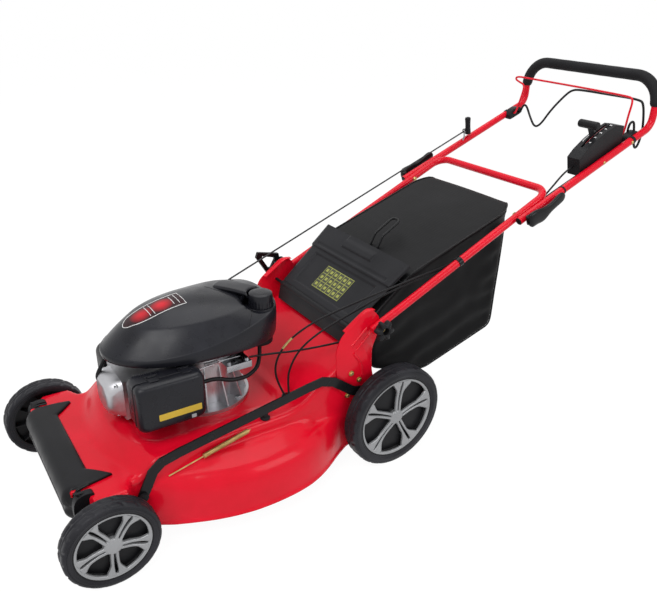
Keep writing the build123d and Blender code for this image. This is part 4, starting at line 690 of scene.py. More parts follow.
def make_deck():
    """Pressed deck shell, mirrored about the middle, and the walls of the cutting chamber."""
    deck = Builder()
    rows = []
    for y in spaced(-42.0, 690.0, 6.0):
        section = deck_section(y)
        flat = section[:21]
        shaped = resampled(soften(section[20:]), 64)
        rows.append([at(*p) for p in flat + shaped[1:]])
    deck.grid(rows)
    # turned-down front edge of the apron
    front = rows[0]
    deck.grid([front, [p + Vector((0, -1.6, -2.4)) * MM for p in front],
               [p + Vector((0, -2.2, -8.0)) * MM for p in front[:30]]
               + [front[29] + Vector((0, -2.2, -8.0)) * MM] * (len(front) - 30)])
    deck.mirror_x()
    deck.make("deck_skin", "chassis", ["red_paint"], "deck_red", ["deck_shell"], solid=2.6)
    plates = Builder()
    # front wall of the cutting chamber and the rear wall with its belt slot
    wall = [(198.0, 112.0), (184.0, 84.0), (160.0, 66.0), (120.0, 60.0), (0.0, 59.0)]
    outline = soften([at(x, y, 0) for x, y in wall])
    plates.grid([[Vector((p.x, p.y, z * MM)) for p in outline] for z in (55, 58, 120, 180)])
    plates.mirror_x()
    rear = [(-203.0, 56.0), (203.0, 56.0), (203.0, 178.0), (60.0, 178.0), (60.0, 158.0),
            (-60.0, 158.0), (-60.0, 178.0), (-203.0, 178.0)]
    plates.prism([at(x, 646.0, z) for x, z in rear], REAR * (2.6 * MM))
    for way in (-1, 1):
        x0, x1 = sorted((way * 61.0, way * 203.0))
        plates.block((x0, 648.0, 175.0), (x1, 689.0, 178.0))
    plates.block((-203.0, 662.0, 176.5), (203.0, 689.0, 178.0))
    plates.make("deck_walls", "chassis", ["red_paint"], "deck_red", solid=2.0)


# ------------------------------------------------------------------ bumper
BUMPER_HALF = 200.0
ARM_ROOT = (121.0, 3.0)
ARM_TIP = (164.0, 46.0)
ARM_OUTER = 178.0


def bumper_back(x):
    """Rear edge of the bumper's top at x: straight in the middle, then a pointed arm."""
    if x <= ARM_ROOT[0]:
        return ARM_ROOT[1]
    if x <= ARM_TIP[0]:
        t = (x - ARM_ROOT[0]) / (ARM_TIP[0] - ARM_ROOT[0])
        return ARM_ROOT[1] + (ARM_TIP[1] - ARM_ROOT[1]) * t ** 0.85
    return ARM_TIP[1] - 72.0 * smooth(ARM_TIP[0], ARM_OUTER + 2.0, x) ** 0.8


def make_bumper():
    """Moulded wrap over the apron: crowned top, rounded nose, pointed arms and curled grooves."""
    shell = Builder()
    half = spaced(0.0, BUMPER_HALF, 3.5)
    rows = []
    for x in [-x for x in reversed(half[1:])] + half:
        reach = abs(x)
        side = reach / BUMPER_HALF
        back = 30.0 * smooth(0.80, 1.0, side)
        edge = bumper_back(reach)
        nose = min(edge, 3.0)
        slot = 9.0 * smooth(0.0, 0.05, 0.74 - side)
        lift = 2.0 * (1 - side * side)
        groove = 7.0 * smooth(170.0, 177.0, reach) * (1 - smooth(187.0, 195.0, reach))
        profile = [(edge, 185.2), (edge - 0.8, 189.0 + lift * 0.5),
                   (edge - 8.0, 191.0 + lift - groove * 0.6),
                   (min(nose - 22.0, -26.0) + 10.0 * (1 - side), 191.5 + lift - groove),
                   (-44.0 + back * 0.8, 190.0 + lift - groove),
                   (-56.0 + back, 184.0 - groove * 0.6), (-62.0 + back, 172.0),
                   (-64.0 + back, 158.0), (-63.0 + back + slot * 0.2, 152.0),
                   (-60.0 + back + slot, 149.0), (-59.0 + back + slot, 136.0),
                   (-62.0 + back + slot * 0.2, 133.0), (-61.0 + back, 124.0),
                   (-56.0 + back, 114.0), (-50.0 + back, 111.0), (-46.0 + back, 114.0)]
        line = soften([Vector((x, y, z)) for y, z in profile])
        rows.append([at(*p) for p in resampled(line, 56)])
    shell.grid(rows)
    shell.make("bumper_skin", "chassis", ["satin_black"], "black_plastic", ["front_bumper"],
               solid=2.4)
    trim = Builder()
    for way in (-1, 1):
        crease = [at(way * 177.0, -8.0, 191.6), at(way * 181.0, -22.0, 191.0),
                  at(way * 182.0, -34.0, 189.0), at(way * 181.0, -40.0, 178.0),
                  at(way * 180.0, -40.0, 160.0)]
        trim.sweep(spline(crease, 3.0), lambda share: 2.6 - 1.6 * share, 12, 1)
        cheek = [(-40.0, 114.0), (-49.0, 126.0), (-51.0, 158.0), (-47.0, 178.0), (-38.0, 189.0),
                 (-20.0, 192.5), (-2.0, 189.0), (0.0, 116.0)]
        outline = soften([at(way * 190.0, y, z) for y, z in cheek])
        trim.prism(outline, RIGHT * (way * 17.0 * MM), 0)
    trim.make("bumper_cheeks", "chassis", ["satin_black", "gloss_black"], "black_plastic",
              bevel=1.6)


# ------------------------------------------------------------------ engine cowl
COWL_MIDDLE = 320.0
COWL_FOOT = 376.0
COWL_PEAK = 480.0
COWL_HALF = 139.0
COWL_FRONT = 226.0
COWL_REAR = 190.0
CAP_PLACE = (76.0, 456.0)
CAP_HOLE = 31.0
CAP_SEAT = 449.0
LOBE_WAY = Vector((-0.90, -0.436, 0.0))
LOBE_HALF = 26.0
LOBE_TOP = 487.5
DOME_EDGE = 0.972
DOME_LIFT = 2.2
COWL_SIDES = 144
DOME_RINGS = 52


def cowl_rim(turn):
    """Plan outline of the cowl: elliptical nose, squarer tail."""
    c, s = math.cos(turn), math.sin(turn)
    if s < 0:
        return COWL_HALF * c, COWL_FRONT * s
    return (COWL_HALF * math.copysign(abs(c) ** 0.66, c), COWL_REAR * s ** 0.66)


def crease_height(y):
    """Height of the shoulder line that climbs from the nose to the tail."""
    return catmull([(94.0, 392.0), (160.0, 393.0), (250.0, 402.0), (350.0, 420.0), (430.0, 440.0),
                    (510.0, 452.0)], y)


def dome_height(x, y, share):
    """Upper face over the shoulder line: steep sides, a soft ridge and a flatter top."""
    crease = crease_height(y)
    peak = COWL_PEAK - 6.0 * smooth(300.0, 120.0, y)
    ridge = 0.72
    if share > ridge:
        part = (1 - share) / (1 - ridge)
        rise = 0.64 * part * (1.22 - 0.22 * part)
    else:
        rise = 0.64 + 0.36 * (1 - (share / ridge) ** 2)
    z = crease + (peak - crease) * rise
    reach = math.hypot(x - CAP_PLACE[0], y - CAP_PLACE[1])
    dent = CAP_SEAT + 52.0 * smooth(CAP_HOLE + 4.0, CAP_HOLE + 40.0, reach)
    soft = 6.0
    return z - max(z - dent + soft, 0.0) ** 2 / (4 * soft) if z < dent + soft else dent


def make_cowl():
    """Engine cowl with the opening for the fuel cap, and the dark ring under it, which is painted
    shade.
    """
    cowl = Builder()
    plan = [cowl_rim(turn) for turn in turns(COWL_SIDES)]
    # shoulder, skirt and the tucked-in lower edge
    levels = [(0.955, 0.0, -1.0), (0.972, 0.0, 0.4), (0.985, 0.10, 0.0), (0.992, 0.35, 0.0),
              (0.995, 0.65, 0.0), (0.992, 0.90, 0.0), (0.986, 1.0, 0.0), (0.981, 1.0, 1.4),
              (DOME_EDGE, 1.0, DOME_LIFT)]
    rows = []
    for grow, share, extra in levels:
        row = []
        for x, y in plan:
            world_y = COWL_MIDDLE + y * grow
            height = crease_height(world_y) - COWL_FOOT
            row.append(at(x * grow, world_y, COWL_FOOT + height * share + extra))
        rows.append(row)
    cowl.grid(rows, around=True)
    rows = []
    for i in range(DOME_RINGS):
        share = DOME_EDGE * math.cos(0.5 * math.pi * i / DOME_RINGS) if i else DOME_EDGE
        row = []
        for x, y in plan:
            px, py = x * share, COWL_MIDDLE + y * share
            row.append(at(px, py, dome_height(px, py, share / DOME_EDGE) + DOME_LIFT))
        rows.append(row)
    cowl.grid(rows, around=True)
    cowl.points.append(at(0, COWL_MIDDLE, dome_height(0, COWL_MIDDLE, 0.0) + DOME_LIFT))
    tip = len(cowl.points) - 1
    last = tip - COWL_SIDES
    for k in range(COWL_SIDES):
        cowl.face((last + k, last + (k + 1) % COWL_SIDES, tip))
    # opening for the fuel cap
    centre = at(*CAP_PLACE, 0)

    def under_cap(p):
        return (Vector((p.x, p.y, 0)) - centre).length < CAP_HOLE * MM and p.z > 420.0 * MM

    cowl.drop(lambda face: all(under_cap(cowl.points[v]) for v in face))
    collar = [(CAP_HOLE + 2.6, CAP_SEAT - 4.0), (CAP_HOLE + 1.8, CAP_SEAT + 3.0),
              (CAP_HOLE + 0.6, CAP_SEAT + 3.6), (CAP_HOLE - 0.4, CAP_SEAT + 2.0),
              (CAP_HOLE - 0.6, CAP_SEAT - 30.0)]
    cowl.lathe(collar, centre, UP, 72)
    cowl.make("cowl_skin", "chassis", ["cowl_grey"], "cowl_grey", ["engine_cowl"], seams=0.5)
    # dark ring across the cowl's open foot: painted shade for the shaded inside of the cowl
    dark = Builder()
    rows = []
    for grow, z in ((0.955, 375.0), (0.90, 377.0), (0.55, 379.0)):
        rows.append([at(x * grow, COWL_MIDDLE + y * grow, z) for x, y in plan])
    dark.grid(rows, around=True)
    dark.make("cowl_underside_painted_shade", "chassis", ["satin_black"], "black_plastic")


def make_cap_lobe():
    """Raised lobe beside the fuel cap, level with its top and hollowed round it."""
    lobe = Builder()
    side = Vector((-LOBE_WAY.y, LOBE_WAY.x, 0.0))
    rows = []
    for k in range(25):
        t = -1 + 2 * k / 24
        start = math.sqrt((CAP_HOLE + 0.8) ** 2 - (LOBE_HALF * t) ** 2)
        end = 116.0 + 20.0 * math.sqrt(max(1 - t * t, 0.0))
        row = []
        for i in range(33):
            s = i / 32
            along = start + (end - start) * s
            rim = (1.0 - abs(t)) * LOBE_HALF
            near = min(rim, end - along, (along - start) + 1.2)
            drop = 5.0 * (1 - smooth(0.0, 6.0, near)) ** 1.6
            p = LOBE_WAY * along + side * (LOBE_HALF * t)
            row.append(at(CAP_PLACE[0] + p.x, CAP_PLACE[1] + p.y, LOBE_TOP - drop - 7.0 * s ** 2))
        rows.append(row)
    lobe.grid(rows)
    lobe.make("cowl_lobe", "chassis", ["cowl_grey"], "cowl_grey", solid=34.0, seams=0.9)


def on_dome(x, y):
    """Point on the cowl's upper face above plan place (x, y)."""
    turn = guess = math.atan2(y - COWL_MIDDLE, x)
    for _ in range(14):
        rx, ry = cowl_rim(guess)
        miss = (turn - math.atan2(ry, rx) + math.pi) % (2 * math.pi) - math.pi
        guess += 0.7 * miss
    share = math.hypot(x, y - COWL_MIDDLE) / math.hypot(*cowl_rim(guess))
    return at(x, y, dome_height(x, y, min(share / DOME_EDGE, 1.0)) + DOME_LIFT)


def make_cowl_details():
    """Parting lines and the plain bullet-shaped badge panel, which carries no lettering."""
    seams = Builder()
    route = [(132.0, 396.0), (104.0, 420.0), (60.0, 408.0), (26.0, 392.0), (-40.0, 362.0)]
    line = []
    for (xa, ya), (xb, yb) in zip(route, route[1:]):
        for i in range(14):
            t = i / 14
            line.append(on_dome(xa + (xb - xa) * t, ya + (yb - ya) * t))
    seams.sweep(line, 0.55, 6)
    seams.make("cowl_seam", "chassis", ["gloss_black"], "black_plastic")
    badge = Builder()
    half, front, back = 31.0, 150.0, 290.0

    def badge_half(y):
        return half * math.sqrt(max(1 - ((212.0 - y) / 62.0) ** 2, 0.0)) if y < 212 else half

    lift = UP * (0.7 * MM)
    rows = []
    ys = spaced(front + 0.3, back, 2.5)
    for y in ys:
        rows.append([on_dome(badge_half(y) * t, y) + lift for t in spaced(-1.0, 1.0, 0.125)])
    badge.grid(rows)
    rim = [on_dome(badge_half(y), y) for y in ys]
    rim = [on_dome(-badge_half(y), y) for y in reversed(ys)] + rim
    badge.sweep([p + lift for p in rim], 0.9, 6, 1)
    badge.sweep([rim[-1] + lift, on_dome(0, back) + lift, rim[0] + lift], 0.9, 6, 1)
    for y, w in ((208.0, 24.0), (218.0, 24.0), (266.0, 20.0), (278.0, 23.0)):
        badge.sweep([on_dome(-w + 2 * w * i / 12, y) + lift * 1.2 for i in range(13)], 0.8, 6, 1)
    badge.make("cowl_badge", "chassis", ["badge_glow", "white_mark"], "deck_red")


def make_fuel_cap():
    cap = Builder()

    def ribbed(turn, r, a):
        return r + (0.7 * math.cos(24 * turn) if 442 < a < 466 else 0.0)

    profile = [(20.6, 441.0), (28.0, 441.0), (28.8, 443.0), (28.8, 446.0), (28.8, 458.0),
               (28.6, 465.0), (28.9, 468.0), (29.0, 479.0), (27.6, 484.6), (24.0, 486.9),
               (12.0, 487.8), (0.5, 487.9)]
    cap.lathe(profile, at(*CAP_PLACE, 0), UP, 144, wave=ribbed)
    cap.make("fuel_cap_skin", "fuel_cap", ["cowl_grey"], "black_plastic", ["fuel_cap"])


# ------------------------------------------------------------------ air cleaner
AIR = dict(x0=96.0, x1=141.0, x2=171.0, y0=114.0, y1=267.0, z0=260.0, z1=372.0)


def rounded_rect(y0, y1, z0, z1, radius, count=8):
    points = []
    for cy, cz, start in ((y1 - radius, z1 - radius, 0), (y0 + radius, z1 - radius, 90),
                          (y0 + radius, z0 + radius, 180), (y1 - radius, z0 + radius, 270)):
        for i in range(count + 1):
            turn = math.radians(start + 90 * i / count)
            points.append((cy + radius * math.cos(turn), cz + radius * math.sin(turn)))
    return points


def box_shell(builder, levels, y0, y1, z0, z1):
    """Rounded box along X: levels are (x, inset, corner radius)."""
    rows = []
    for x, inset, radius in levels:
        rows.append([at(x, y, z) for y, z in rounded_rect(y0 + inset, y1 - inset, z0 + inset,
                                                          z1 - inset, radius)])
    builder.grid(rows, around=True, ends=True)


def make_air_cleaner():
    a = AIR
    case = Builder()
    box_shell(case, [(a["x0"], 6, 14), (a["x0"] + 2, 2.4, 16), (a["x0"] + 6, 0.6, 16),
                     (a["x0"] + 20, 0.0, 15), (a["x1"] - 4, 0.0, 13), (a["x1"] - 3.4, -0.9, 13),
                     (a["x1"] - 0.2, -0.9, 13), (a["x1"], 0.0, 13)],
              a["y0"], a["y1"], a["z0"], a["z1"])
    for y in (a["y0"] + 36, a["y1"] - 44):
        case.block((a["x1"] - 17, y - 3, a["z1"] - 2), (a["x1"] - 14, y + 25, a["z1"] + 3.0))
        case.block((a["x1"] - 17, y - 3, a["z1"] - 2), (a["x1"] - 3, y - 0.6, a["z1"] + 2.4))
        case.block((a["x1"] - 17, y + 22.6, a["z1"] - 2), (a["x1"] - 3, y + 25, a["z1"] + 2.4))
    hose_end = at(118, a["y1"] - 1, 316)
    case.lathe([(0.5, -1.0), (9.0, -1.0), (9.0, 4.0), (8.0, 8.5), (5.2, 9.0)], hose_end,
               REAR, 32)
    case.make("air_case_skin", "chassis", ["cowl_grey"], "black_plastic", ["air_cleaner_case"],
              bevel=0.5)
    cover = Builder()
    x0 = a["x1"] + 0.4
    box_shell(cover, [(x0, 0.4, 13), (x0 + 1.0, 0.0, 13), (x0 + 14, 0.0, 13),
                      (a["x2"] - 10, 0.4, 15),
                      (a["x2"] - 5, 1.8, 18), (a["x2"] - 2, 4.6, 19), (a["x2"] - 0.5, 8.0, 18),
                      (a["x2"], 12.0, 16)], a["y0"], a["y1"], a["z0"], a["z1"])
    for y in (a["y0"] + 36, a["y1"] - 44):
        cover.block((x0 - 10, y, a["z1"] + 0.2), (x0 + 9, y + 22, a["z1"] + 2.0))
        cover.block((x0 - 11, y + 2, a["z1"] + 0.2), (x0 - 8, y + 20, a["z1"] + 4.2))
    for y in (a["y0"] + 30, a["y1"] - 46):
        cover.lathe([(0.2, 0.0), (2.4, 0.0), (2.4, 16.0), (0.2, 16.0)], at(x0, y, a["z0"] - 2.7),
                    REAR, 20)
    cover.make("air_cover_skin", "air_cover", ["cowl_grey"], "black_plastic",
               ["air_cleaner_cover"], bevel=0.6)
    label = Builder()
    face = a["x2"] + 0.25
    outline = rounded_rect(156.0, 254.0, 284.0, 300.0, 2.0, 3)
    label.prism([at(face - 0.1, y, z) for y, z in outline], RIGHT * (0.35 * MM), 0)
    outline = rounded_rect(229.0, 240.0, 268.0, 277.0, 1.0, 3)
    label.prism([at(face - 0.1, y, z) for y, z in outline], RIGHT * (0.3 * MM), 1)
    label.make("air_cover_patches", "air_cover", ["label_yellow", "label_grey"], "black_plastic")


def make_head_cover():
    head = Builder()
    rows = []
    for y, inset, radius in ((118.0, 2.0, 16), (116.0, 2.6, 17), (104.0, 5.0, 22), (94.0, 8.0, 26),
                             (88.0, 12.0, 26), (84.6, 17.0, 24), (83.4, 23.0, 18)):
        x0, x1, z0, z1 = -52 + inset, 60 - inset, 236 + inset, 336 - inset
        rows.append([at(x, y, z) for x, z in rounded_rect(x0, x1, z0, z1, radius)])
    head.grid(rows, around=True, ends=True)
    for x, z in ((-40.0, 250.0), (46.0, 250.0), (46.0, 322.0), (-40.0, 322.0)):
        head.lathe([(6.4, 0.0), (6.4, 12.0), (5.0, 13.0), (0.4, 13.0)], at(x, 118.0, z),
                   -REAR, 24)
        head.lathe([(4.6, 12.0), (4.6, 16.0), (3.6, 17.0), (0.3, 17.0)], at(x, 118.0, z),
                   -REAR, 6, 1)
    head.make("head_cover_skin", "chassis", ["cast", "steel"], "cast_aluminium",
              ["cylinder_head_cover"])


COIL_STEPS = 12
SHAFT_Y = 325


def make_carburettor_details():
    """Springs, screws and rods between the air cleaner and the crankcase."""
    bits = Builder()
    spring = []
    coils, length = 12, 34.0
    for i in range(coils * COIL_STEPS + 1):
        t = i / (coils * COIL_STEPS)
        turn = 2 * math.pi * coils * t
        spring.append(at(106 + 4 * math.cos(turn), 292.0 + length * t, 352 + 4 * math.sin(turn)))
    bits.sweep(spring, 0.7, 6)
    bits.sweep([at(106, 326, 352), at(106, 352, 350), at(100, 384, 346)], 1.1, 8)
    bits.sweep([at(98, 270, 338), at(98, 332, 343), at(92, 360, 343)], 1.4, 8)
    for x, y in ((44.0, 352.0), (112.0, 350.0), (112.0, 396.0)):
        bits.lathe([(5.0, 0.0), (5.0, 3.2), (4.2, 4.0), (0.3, 4.0)], at(x, y, 340.2),
                   UP, 6)
        bits.lathe([(7.0, 0.0), (7.0, 1.2), (0.3, 1.2)], at(x, y, 340.1), UP, 24)
    for k in range(5):
        turn = math.radians(-30 + 62 * k)
        x, y = 104 * math.cos(turn), SHAFT_Y + 104 * math.sin(turn)
        bits.lathe([(7.5, 0.0), (7.5, 4.0), (6.5, 5.0), (0.3, 5.0)], at(x, y, 224.0),
                   UP, 6)
    bits.make("engine_fasteners", "chassis", ["steel"], "steel")
    casting = Builder()
    for k in range(9):
        turn = math.radians(-70 + 27 * k)
        c, s = math.cos(turn), math.sin(turn)
        web = [at(76 * c, SHAFT_Y + 76 * s, 330), at(110 * c, SHAFT_Y + 110 * s, 223),
               at(76 * c, SHAFT_Y + 76 * s, 223)]
        push = Vector((-s, c, 0)) * 4.0 * MM
        casting.prism([p - push * 0.5 for p in web], push)
    casting.make("crankcase_webs", "chassis", ["cast"], "cast_aluminium", bevel=0.8)


# ------------------------------------------------------------------ plug boot and exhaust guard
GUARD_LOW = (-140.0, 112.0, 234.0)
GUARD_HIGH = (-70.0, 240.0, 352.0)


def make_plug_boot():
    boot = Builder()
    route = [at(-28.0, 120.0, 306.0), at(-28.0, 100.0, 306.0), at(-29.0, 88.0, 310.0),
             at(-30.0, 92.0, 330.0), at(-34.0, 112.0, 358.0), at(-38.0, 130.0, 384.0)]
    boot.sweep(spline(route, 3.0), lambda share: 8.2 - 4.0 * smooth(0.15, 0.55, share), 18)
    boot.lathe([(9.4, 0.0), (9.4, 3.0), (8.0, 4.0), (0.4, 4.0)], at(-28.0, 112.0, 306.0),
               -REAR, 28)
    boot.make("plug_boot", "chassis", ["cable"], "rubber", ["spark_plug"], seams=0.8)


def make_guard():
    """Pressed exhaust guard: rounded shell with a row of slots in its outer face, drawn as thin
    dark patches that are painted shade.
    """
    (x0, y0, z0), (x1, y1, z1) = GUARD_LOW, GUARD_HIGH
    guard = Builder()
    levels = [(x1, 2.0, 26), (x1 - 2, 0.6, 26), (x1 - 8, 0.0, 26), (x0 + 22, 0.0, 26),
              (x0 + 10, 2.4, 25), (x0 + 4, 7.0, 22), (x0 + 1, 13.0, 18), (x0, 20.0, 14)]
    box_shell(guard, levels, y0, y1, z0, z1)
    # slots as thin patches in the darker cable finish: painted shade in place of the openings
    for k in range(6):
        y = y0 + 34.0 + 12.0 * k
        slot = rounded_rect(y - 2.6, y + 2.6, z0 + 34, z1 - 34, 2.4, 4)
        guard.prism([at(x0 - 0.4, a, b) for a, b in slot], RIGHT * (0.5 * MM), 1)
    guard.make("guard_skin", "chassis", ["satin_black", "cable"], "black_metal",
               ["exhaust_guard"], seams=0.7)


# ------------------------------------------------------------------ wheels
PAIRS = 5
GEAR_EDGE = 66.0
WHEELS = {"front_left": (1, 80.0, 53.0), "front_right": (-1, 80.0, 53.0),
          "rear_left": (1, 111.0, 12.0), "rear_right": (-1, 111.0, 12.0)}


class Wheel:
    """Local frame of one wheel: along and across its spokes, and outwards from its inner face."""

    def __init__(self, corner):
        low, high, mid = box(corner + "_tyre")
        self.way, self.cover, self.phase = WHEELS[corner]
        self.radius = (high.z - low.z) / 2 / MM
        self.width = (high.x - low.x) / MM
        self.start = Vector((low.x if self.way > 0 else high.x, mid.y, mid.z))
        self.axis = RIGHT * (self.way * MM)

    def place(self, turn, along, across, out):
        c, s = math.cos(turn), math.sin(turn)
        return self.start + self.axis * out + Vector((0, along * c - across * s,
                                                      along * s + across * c)) * MM

    def ring(self, builder, profile, sides=120, wave=None, around=False):
        """Turned part of the wheel; around joins the profile's last point to its first."""
        rows = []
        for r, a in profile:
            rows.append([self.place(turn, wave(turn, r, a) if wave else r, 0.0, a)
                         for turn in turns(sides)])
        builder.grid(rows, around=True, along=around)


def tread_cut(wheel):
    """Moulded tread: a centre rib and rows of curved slots towards both shoulders."""
    mid = wheel.width / 2
    count = 26 if wheel.radius > 120 else 20

    def radius(turn, r, a):
        if r < wheel.radius - 6.5:
            return r
        across = (a - mid) / mid
        lean = turn * count + 2.2 * abs(across) * (1 if across > 0 else -1)
        groove = smooth(0.55, 0.8, math.sin(lean)) * smooth(0.22, 0.34, abs(across)) * (
            1 - smooth(0.80, 0.95, abs(across)))
        ring = smooth(0.12, 0.07, abs(abs(across) - 0.20))
        return r - 1.9 * groove - 1.1 * ring

    return radius


def make_wheel(corner):
    """Tyre, ribbed core and the outer cover with its paired spokes."""
    w = Wheel(corner)
    seat = w.cover + 3.0
    wide, top = w.width, w.radius
    tyre = Builder()
    side = [(seat, 2.2), (seat + 2.0, 0.9), (seat + 4.0, 1.4), (seat + 5.0, 0.5),
            (top - 9.5, 0.1), (top - 8.6, 0.9), (top - 7.8, 0.1), (top - 5.5, 0.6),
            (top - 2.6, 2.0), (top - 0.9, 4.6), (top - 0.15, 7.6)]
    crown = [(top, a) for a in spaced(9.0, wide - 9.0, 1.5)]
    profile = side + crown + [(r, wide - a) for r, a in reversed(side)]
    w.ring(tyre, profile, sides=300, wave=tread_cut(w), around=True)
    tyre.make(corner + "_tyre_skin", corner, ["tyre"], "tyre", [corner + "_tyre"], seams=0.9)
    core = Builder()
    deep = wide - 19.0
    geared = corner.startswith("rear")
    inner = GEAR_EDGE if geared else 24.0
    foot = GEAR_EDGE if geared else 16.0
    w.ring(core, [(6.2, -3.4), (14.0, -3.4), (14.0, 18.0), (inner, 19.5), (w.cover - 3.0, 19.5),
                  (w.cover, 16.0), (w.cover, 2.2), (w.cover + 2.9, 2.2),
                  (w.cover + 2.9, wide - 2.4),
                  (w.cover, wide - 2.4), (w.cover - 0.5, deep + 3.0), (w.cover - 4.0, deep),
                  (24.0, deep), (19.0, wide - 13.0), (6.2, wide - 13.0)], around=True)
    for k in range(PAIRS * 2):
        turn = math.radians(w.phase + 18.0 + 36.0 * k)
        ring = [w.place(turn, r, t, 0) for r, t in ((foot, -1.3), (w.cover, -1.3),
                                                    (w.cover, 1.3), (foot, 1.3))]
        core.grid([[p + w.axis * a for p in ring] for a in (6.0, 20.0)], around=True, ends=True)
    if geared:
        def teeth(turn, r, a):
            return r + (2.1 * math.tanh(2.6 * math.cos(60 * turn)) if r < 63 else 0.0)

        w.ring(core, [(60.0, 3.4), (GEAR_EDGE, 3.0), (GEAR_EDGE, 20.0), (60.0, 20.0)],
               sides=480, wave=teeth, around=True)
    core.make(corner + "_core", corner, ["satin_black"], "wheel", [corner + "_wheel"], seams=0.7)
    cover = Builder()
    face = wide - 2.0
    rim = w.cover - 7.0
    w.ring(cover, [(rim, face - 7.5), (rim, face - 3.6), (rim + 0.8, face - 2.4),
                   (rim + 2.6, face - 1.7), (w.cover - 2.2, face - 0.6),
                   (w.cover - 0.7, face - 0.4),
                   (w.cover - 0.2, face - 1.2), (w.cover - 0.2, face - 7.5)], around=True)
    w.ring(cover, [(0.4, face + 0.6), (9.0, face + 0.6), (12.5, face + 0.2), (15.5, face - 0.6),
                   (17.6, face - 1.8), (19.6, face - 3.4), (20.8, face - 6.0), (20.8, face - 14.0)])
    w.ring(cover, [(0.4, face + 0.6), (0.1, face + 0.6)])
    start, end = 15.0, w.cover - 5.5
    narrow, foot, wide_end = 2.3, 9.6, end * 0.285
    for k in range(PAIRS):
        turn = math.radians(w.phase + 72.0 * k)
        for way in (-1, 1):
            rows = []
            for i in range(21):
                s = i / 20
                along = start + (end - start) * s
                slot_half = (narrow * (0.75 + 0.8 * smooth(0.1, 0.9, s))
                             * (1 - 0.45 * smooth(0.86, 1.0, s)))
                edge = foot * (0.94 + 0.10 * s) + (wide_end - foot) * smooth(0.52, 1.0, s) ** 1.5
                dish = face - 1.4 - 3.4 * math.sin(math.pi * min(s * 1.08, 1.0)) ** 1.2
                thick = edge - slot_half
                ring = [(slot_half, dish - 6.5), (slot_half, dish - 1.4),
                        (slot_half + 0.9, dish - 0.3), (slot_half + thick * 0.30, dish + 0.5),
                        (slot_half + thick * 0.62, dish + 0.3), (edge - 1.3, dish - 0.6),
                        (edge - 0.2, dish - 1.8), (edge, dish - 6.5)]
                rows.append([w.place(turn, along, way * t, a) for t, a in ring])
            cover.grid(rows, around=True, ends=True)
    cover.make(corner + "_cover", corner, ["silver_plastic"], "wheel", seams=0.75)


def make_wheels():
    for corner in WHEELS:
        make_wheel(corner)


# ------------------------------------------------------------------ grass bag
BAG_LID = (826.0, 496.0)
BAG_LID_END = (1180.0, 624.0)
BAG_PROFILE = [(712.0, 258.0), (712.0, 404.0), BAG_LID, BAG_LID_END, (1192.0, 612.0),
               (1170.0, 528.0), (1156.0, 380.0), (1154.0, 276.0), (897.0, 198.0), (800.0, 226.0)]
BAG_HALF = 187.0
BAG_CENTRE = (965.0, 402.0)
BAG_CORNER = 70.0
MOUTH = (166.0, 268.0, 398.0)


def rounded_loop(corners, radius, step):
    """Closed outline with rounded corners, evenly spaced."""
    line = []
    count = len(corners)
    for k in range(count):
        here = Vector(corners[k])
        a, b = Vector(corners[k - 1]) - here, Vector(corners[(k + 1) % count]) - here
        cut = min(radius, 0.4 * a.length, 0.4 * b.length)
        start, end = here + a.normalized() * cut, here + b.normalized() * cut
        for i in range(7):
            t = i / 6
            line.append(start * (1 - t) ** 2 + here * 2 * t * (1 - t) + end * t * t)
    line.append(line[0])
    return resampled([Vector((p.x, p.y, 0)) for p in line], int(length_of(line) / step))[:-1]


def bag_half(y):
    """Half width in plan: the lid's rear corners are round."""
    over = max(y - (1190.0 - BAG_CORNER), 0.0)
    return BAG_HALF - (BAG_CORNER - math.sqrt(max(BAG_CORNER ** 2 - over ** 2, 0.0))) * 0.9


def folds(x, y, z):
    """Slack in the cloth: slow dents, a long crease low down and short ones at the back."""
    spot = Vector((x * 0.004, y * 0.0065, z * 0.0065))
    dent = 5.5 * noise.noise(spot) + 2.4 * noise.noise(spot * 3.1)
    low = 1 - smooth(300.0, 430.0, z)
    crease = 4.0 * low * math.sin((z - 0.36 * (y - 1154.0)) * 0.085 + 1.3 * noise.noise(spot * 1.7))
    back = 3.0 * smooth(1060.0, 1150.0, y) * math.sin(z * 0.11 + 2.0 * noise.noise(spot * 2.0))
    return dent + crease * 0.8 + back


